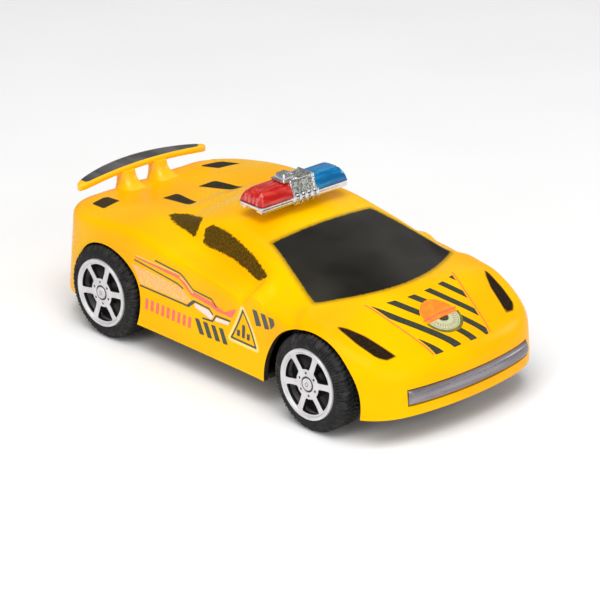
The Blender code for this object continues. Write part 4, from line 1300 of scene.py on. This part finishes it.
def wheel_face():
    """The silver face before its windows and nut dimples are cut: a dished disc with a raised lip and a
    centre cap.
    """
    return lathe_x(FACE_PROFILE, 120)


def blacken_walls(mesh, axle_y):
    """Gives the walls of a wheel face's windows the second material, a black painted as the shade inside the
    wheel.
    """
    for face in mesh.polygons:
        y, z = face.center.y / MM - CAR_SHIFT_Y - axle_y, face.center.z / MM - WHEEL_Z
        if 4.0 < math.hypot(y, z) < 9.4 and abs(face.normal.x) < 0.3:
            face.material_index = 1


def ring_shape(x0, x1, inner, outer, count):
    return lathe_x([(x0, inner), (x1, inner), (x1, outer), (x0, outer)], count)


def build_wheels():
    # The black is painted shade: on the window walls, on the inner hub behind the face, and in the face's
    # groove and nut dimples.
    silver, black, tread = hub_silver(), moulded("hub_black_painted_shade", srgb(20, 20, 22), 0.5), rubber()
    tyre = tyre_shape()
    pitch = 2 * math.pi / WINDOW_COUNT
    # The marks are a black ring and black dots painted as shade in the groove and nut dimples, plus a thin
    # black ring on the centre cap.
    cutters, marks = [], [ring_shape(37.98, 38.14, 1.9, 2.36, 60), ring_shape(38.42, 38.44, 0.5, 0.62, 40)]
    for i in range(WINDOW_COUNT):
        middle = WINDOW_PHASE + i * pitch
        nut = (NUT_CIRCLE * math.cos(middle), NUT_CIRCLE * math.sin(middle))
        cutters.append(extrude(wheel_window(middle), 35.0, 40.0, "X"))
        cutters.append(extrude(circle(nut, 0.42, 16), 37.9, 40.0, "X"))
        marks.append(extrude(circle(nut, 0.38, 16), 37.92, 38.08, "X"))
    hub = joined(lathe_x(HUB_PROFILE, 60), *marks)
    for end, y in (("front", -WHEEL_Y), ("rear", WHEEL_Y)):
        for side, turned in (("left", False), ("right", True)):
            at, name, rides = (0, y, WHEEL_Z), f"{end}_{side}", f"{end}_wheelset"
            rubber_ring = mesh_object(f"tyre_{name}_rubber", moved(tyre, at, turned), [tread], 40)
            settle(rubber_ring, rides, [f"tyre_{name}"])
            face = mesh_object(f"wheel_{name}_face", moved(wheel_face(), at, turned), [silver, black], 40)
            carve(face, moved(joined(*cutters), at, turned))
            blacken_walls(face.data, y)
            soften(face, 0.12, 2, 40, 40)
            settle(face, rides, [f"wheel_{name}"])
            inner = mesh_object(f"wheel_{name}_hub", moved(hub, at, turned), [black], 40)
            settle(inner, rides)


# ---- inner parts, studio


def dress_nodes(frame):
    """Gives each node that stays in view its finish."""
    finishes = {
        "black_chassis": moulded("chassis_black", srgb(30, 30, 32), 0.48, grain=0.4, depth=0.02),
        "motor_case_plastic": moulded("case_grey", srgb(58, 58, 62), 0.45, grain=0.3, depth=0.02),
        "gear_nylon": moulded("gear_white", srgb(226, 222, 208), 0.4, grain=0.3, depth=0.01),
        "steel": brushed_steel("bright_steel", (0.62, 0.62, 0.64, 1.0)),
        "spring_steel": brushed_steel("blued_steel", (0.3, 0.32, 0.4, 1.0)),
    }
    slots = {entry["node"]: entry["material_slot"] for entry in frame["record"]["subparts"]}
    for name, node in frame["nodes"].items():
        finish = finishes.get(slots[name])
        if finish:
            node.data.materials.clear()
            node.data.materials.append(finish)


def build_floor():
    half = FLOOR_HALF
    square = [(-half, -half, 0), (half, -half, 0), (half, half, 0), (-half, half, 0)]
    mesh = bpy.data.meshes.new("floor")
    mesh.from_pydata(square, [], [(0, 1, 2, 3)])
    skin = Skin("floor")
    cloud = skin.noise(60, 3)
    colour = skin.mix(cloud, (0.96, 0.96, 0.96, 1.0), (0.98, 0.98, 0.98, 1.0))
    skin.feed(colour, skin.shader.inputs["Base Color"])
    skin.feed(skin.span(cloud, 0.3, 0.7, 0.75, 0.9), skin.shader.inputs["Roughness"])
    mesh.materials.append(skin.material)
    floor = linked("floor", mesh)


def aim(obj, at, target):
    """Places an object and points it at a target."""
    obj.location = at
    obj.rotation_euler = (Vector(target) - Vector(at)).to_track_quat("-Z", "Y").to_euler()


def area_light(name, at, target, size, power):
    data = bpy.data.lights.new(name, "AREA")
    data.shape = "RECTANGLE"
    data.size, data.size_y = size
    data.energy = power
    aim(linked(name, data), at, target)


def build_studio():
    build_floor()
    world = bpy.data.worlds.new("studio")
    world.use_nodes = True
    background = world.node_tree.nodes["Background"]
    background.inputs["Color"].default_value = (1.0, 1.0, 1.0, 1.0)
    background.inputs["Strength"].default_value = WORLD_LIGHT
    bpy.context.scene.world = world
    for name, at, size, power in LIGHTS:
        area_light(name, at, LIT_POINT, size, power)

    data = bpy.data.cameras.new("camera")
    data.lens = CAMERA_LENS
    data.sensor_width = CAMERA_SENSOR
    data.clip_start = 0.01
    data.clip_end = 20.0
    camera = linked("camera", data)
    aim(camera, CAMERA_AT, CAMERA_TARGET)
    camera.location = Vector(CAMERA_AT) * MM
    bpy.context.scene.camera = camera
    bpy.context.scene.view_settings.view_transform = "Standard"


def corners(bounds):
    return [[float(v) for v in corner] for corner in bounds]


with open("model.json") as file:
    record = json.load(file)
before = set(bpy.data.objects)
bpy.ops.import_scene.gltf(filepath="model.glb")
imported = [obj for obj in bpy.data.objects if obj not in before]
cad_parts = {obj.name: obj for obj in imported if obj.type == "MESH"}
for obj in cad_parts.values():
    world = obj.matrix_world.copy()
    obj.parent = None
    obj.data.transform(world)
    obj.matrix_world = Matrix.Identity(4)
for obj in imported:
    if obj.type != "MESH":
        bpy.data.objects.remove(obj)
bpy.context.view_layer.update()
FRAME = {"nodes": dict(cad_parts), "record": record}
build_studio()
dress_nodes(FRAME)
build_body()
build_decals()
build_wing(moulded("wing_yellow", YELLOW, 0.3, drift=0.03))
build_strip()
BRIGHT_METAL = chrome()
build_tray(BRIGHT_METAL)
build_lenses()
build_centre_cover(BRIGHT_METAL)
build_wheels()
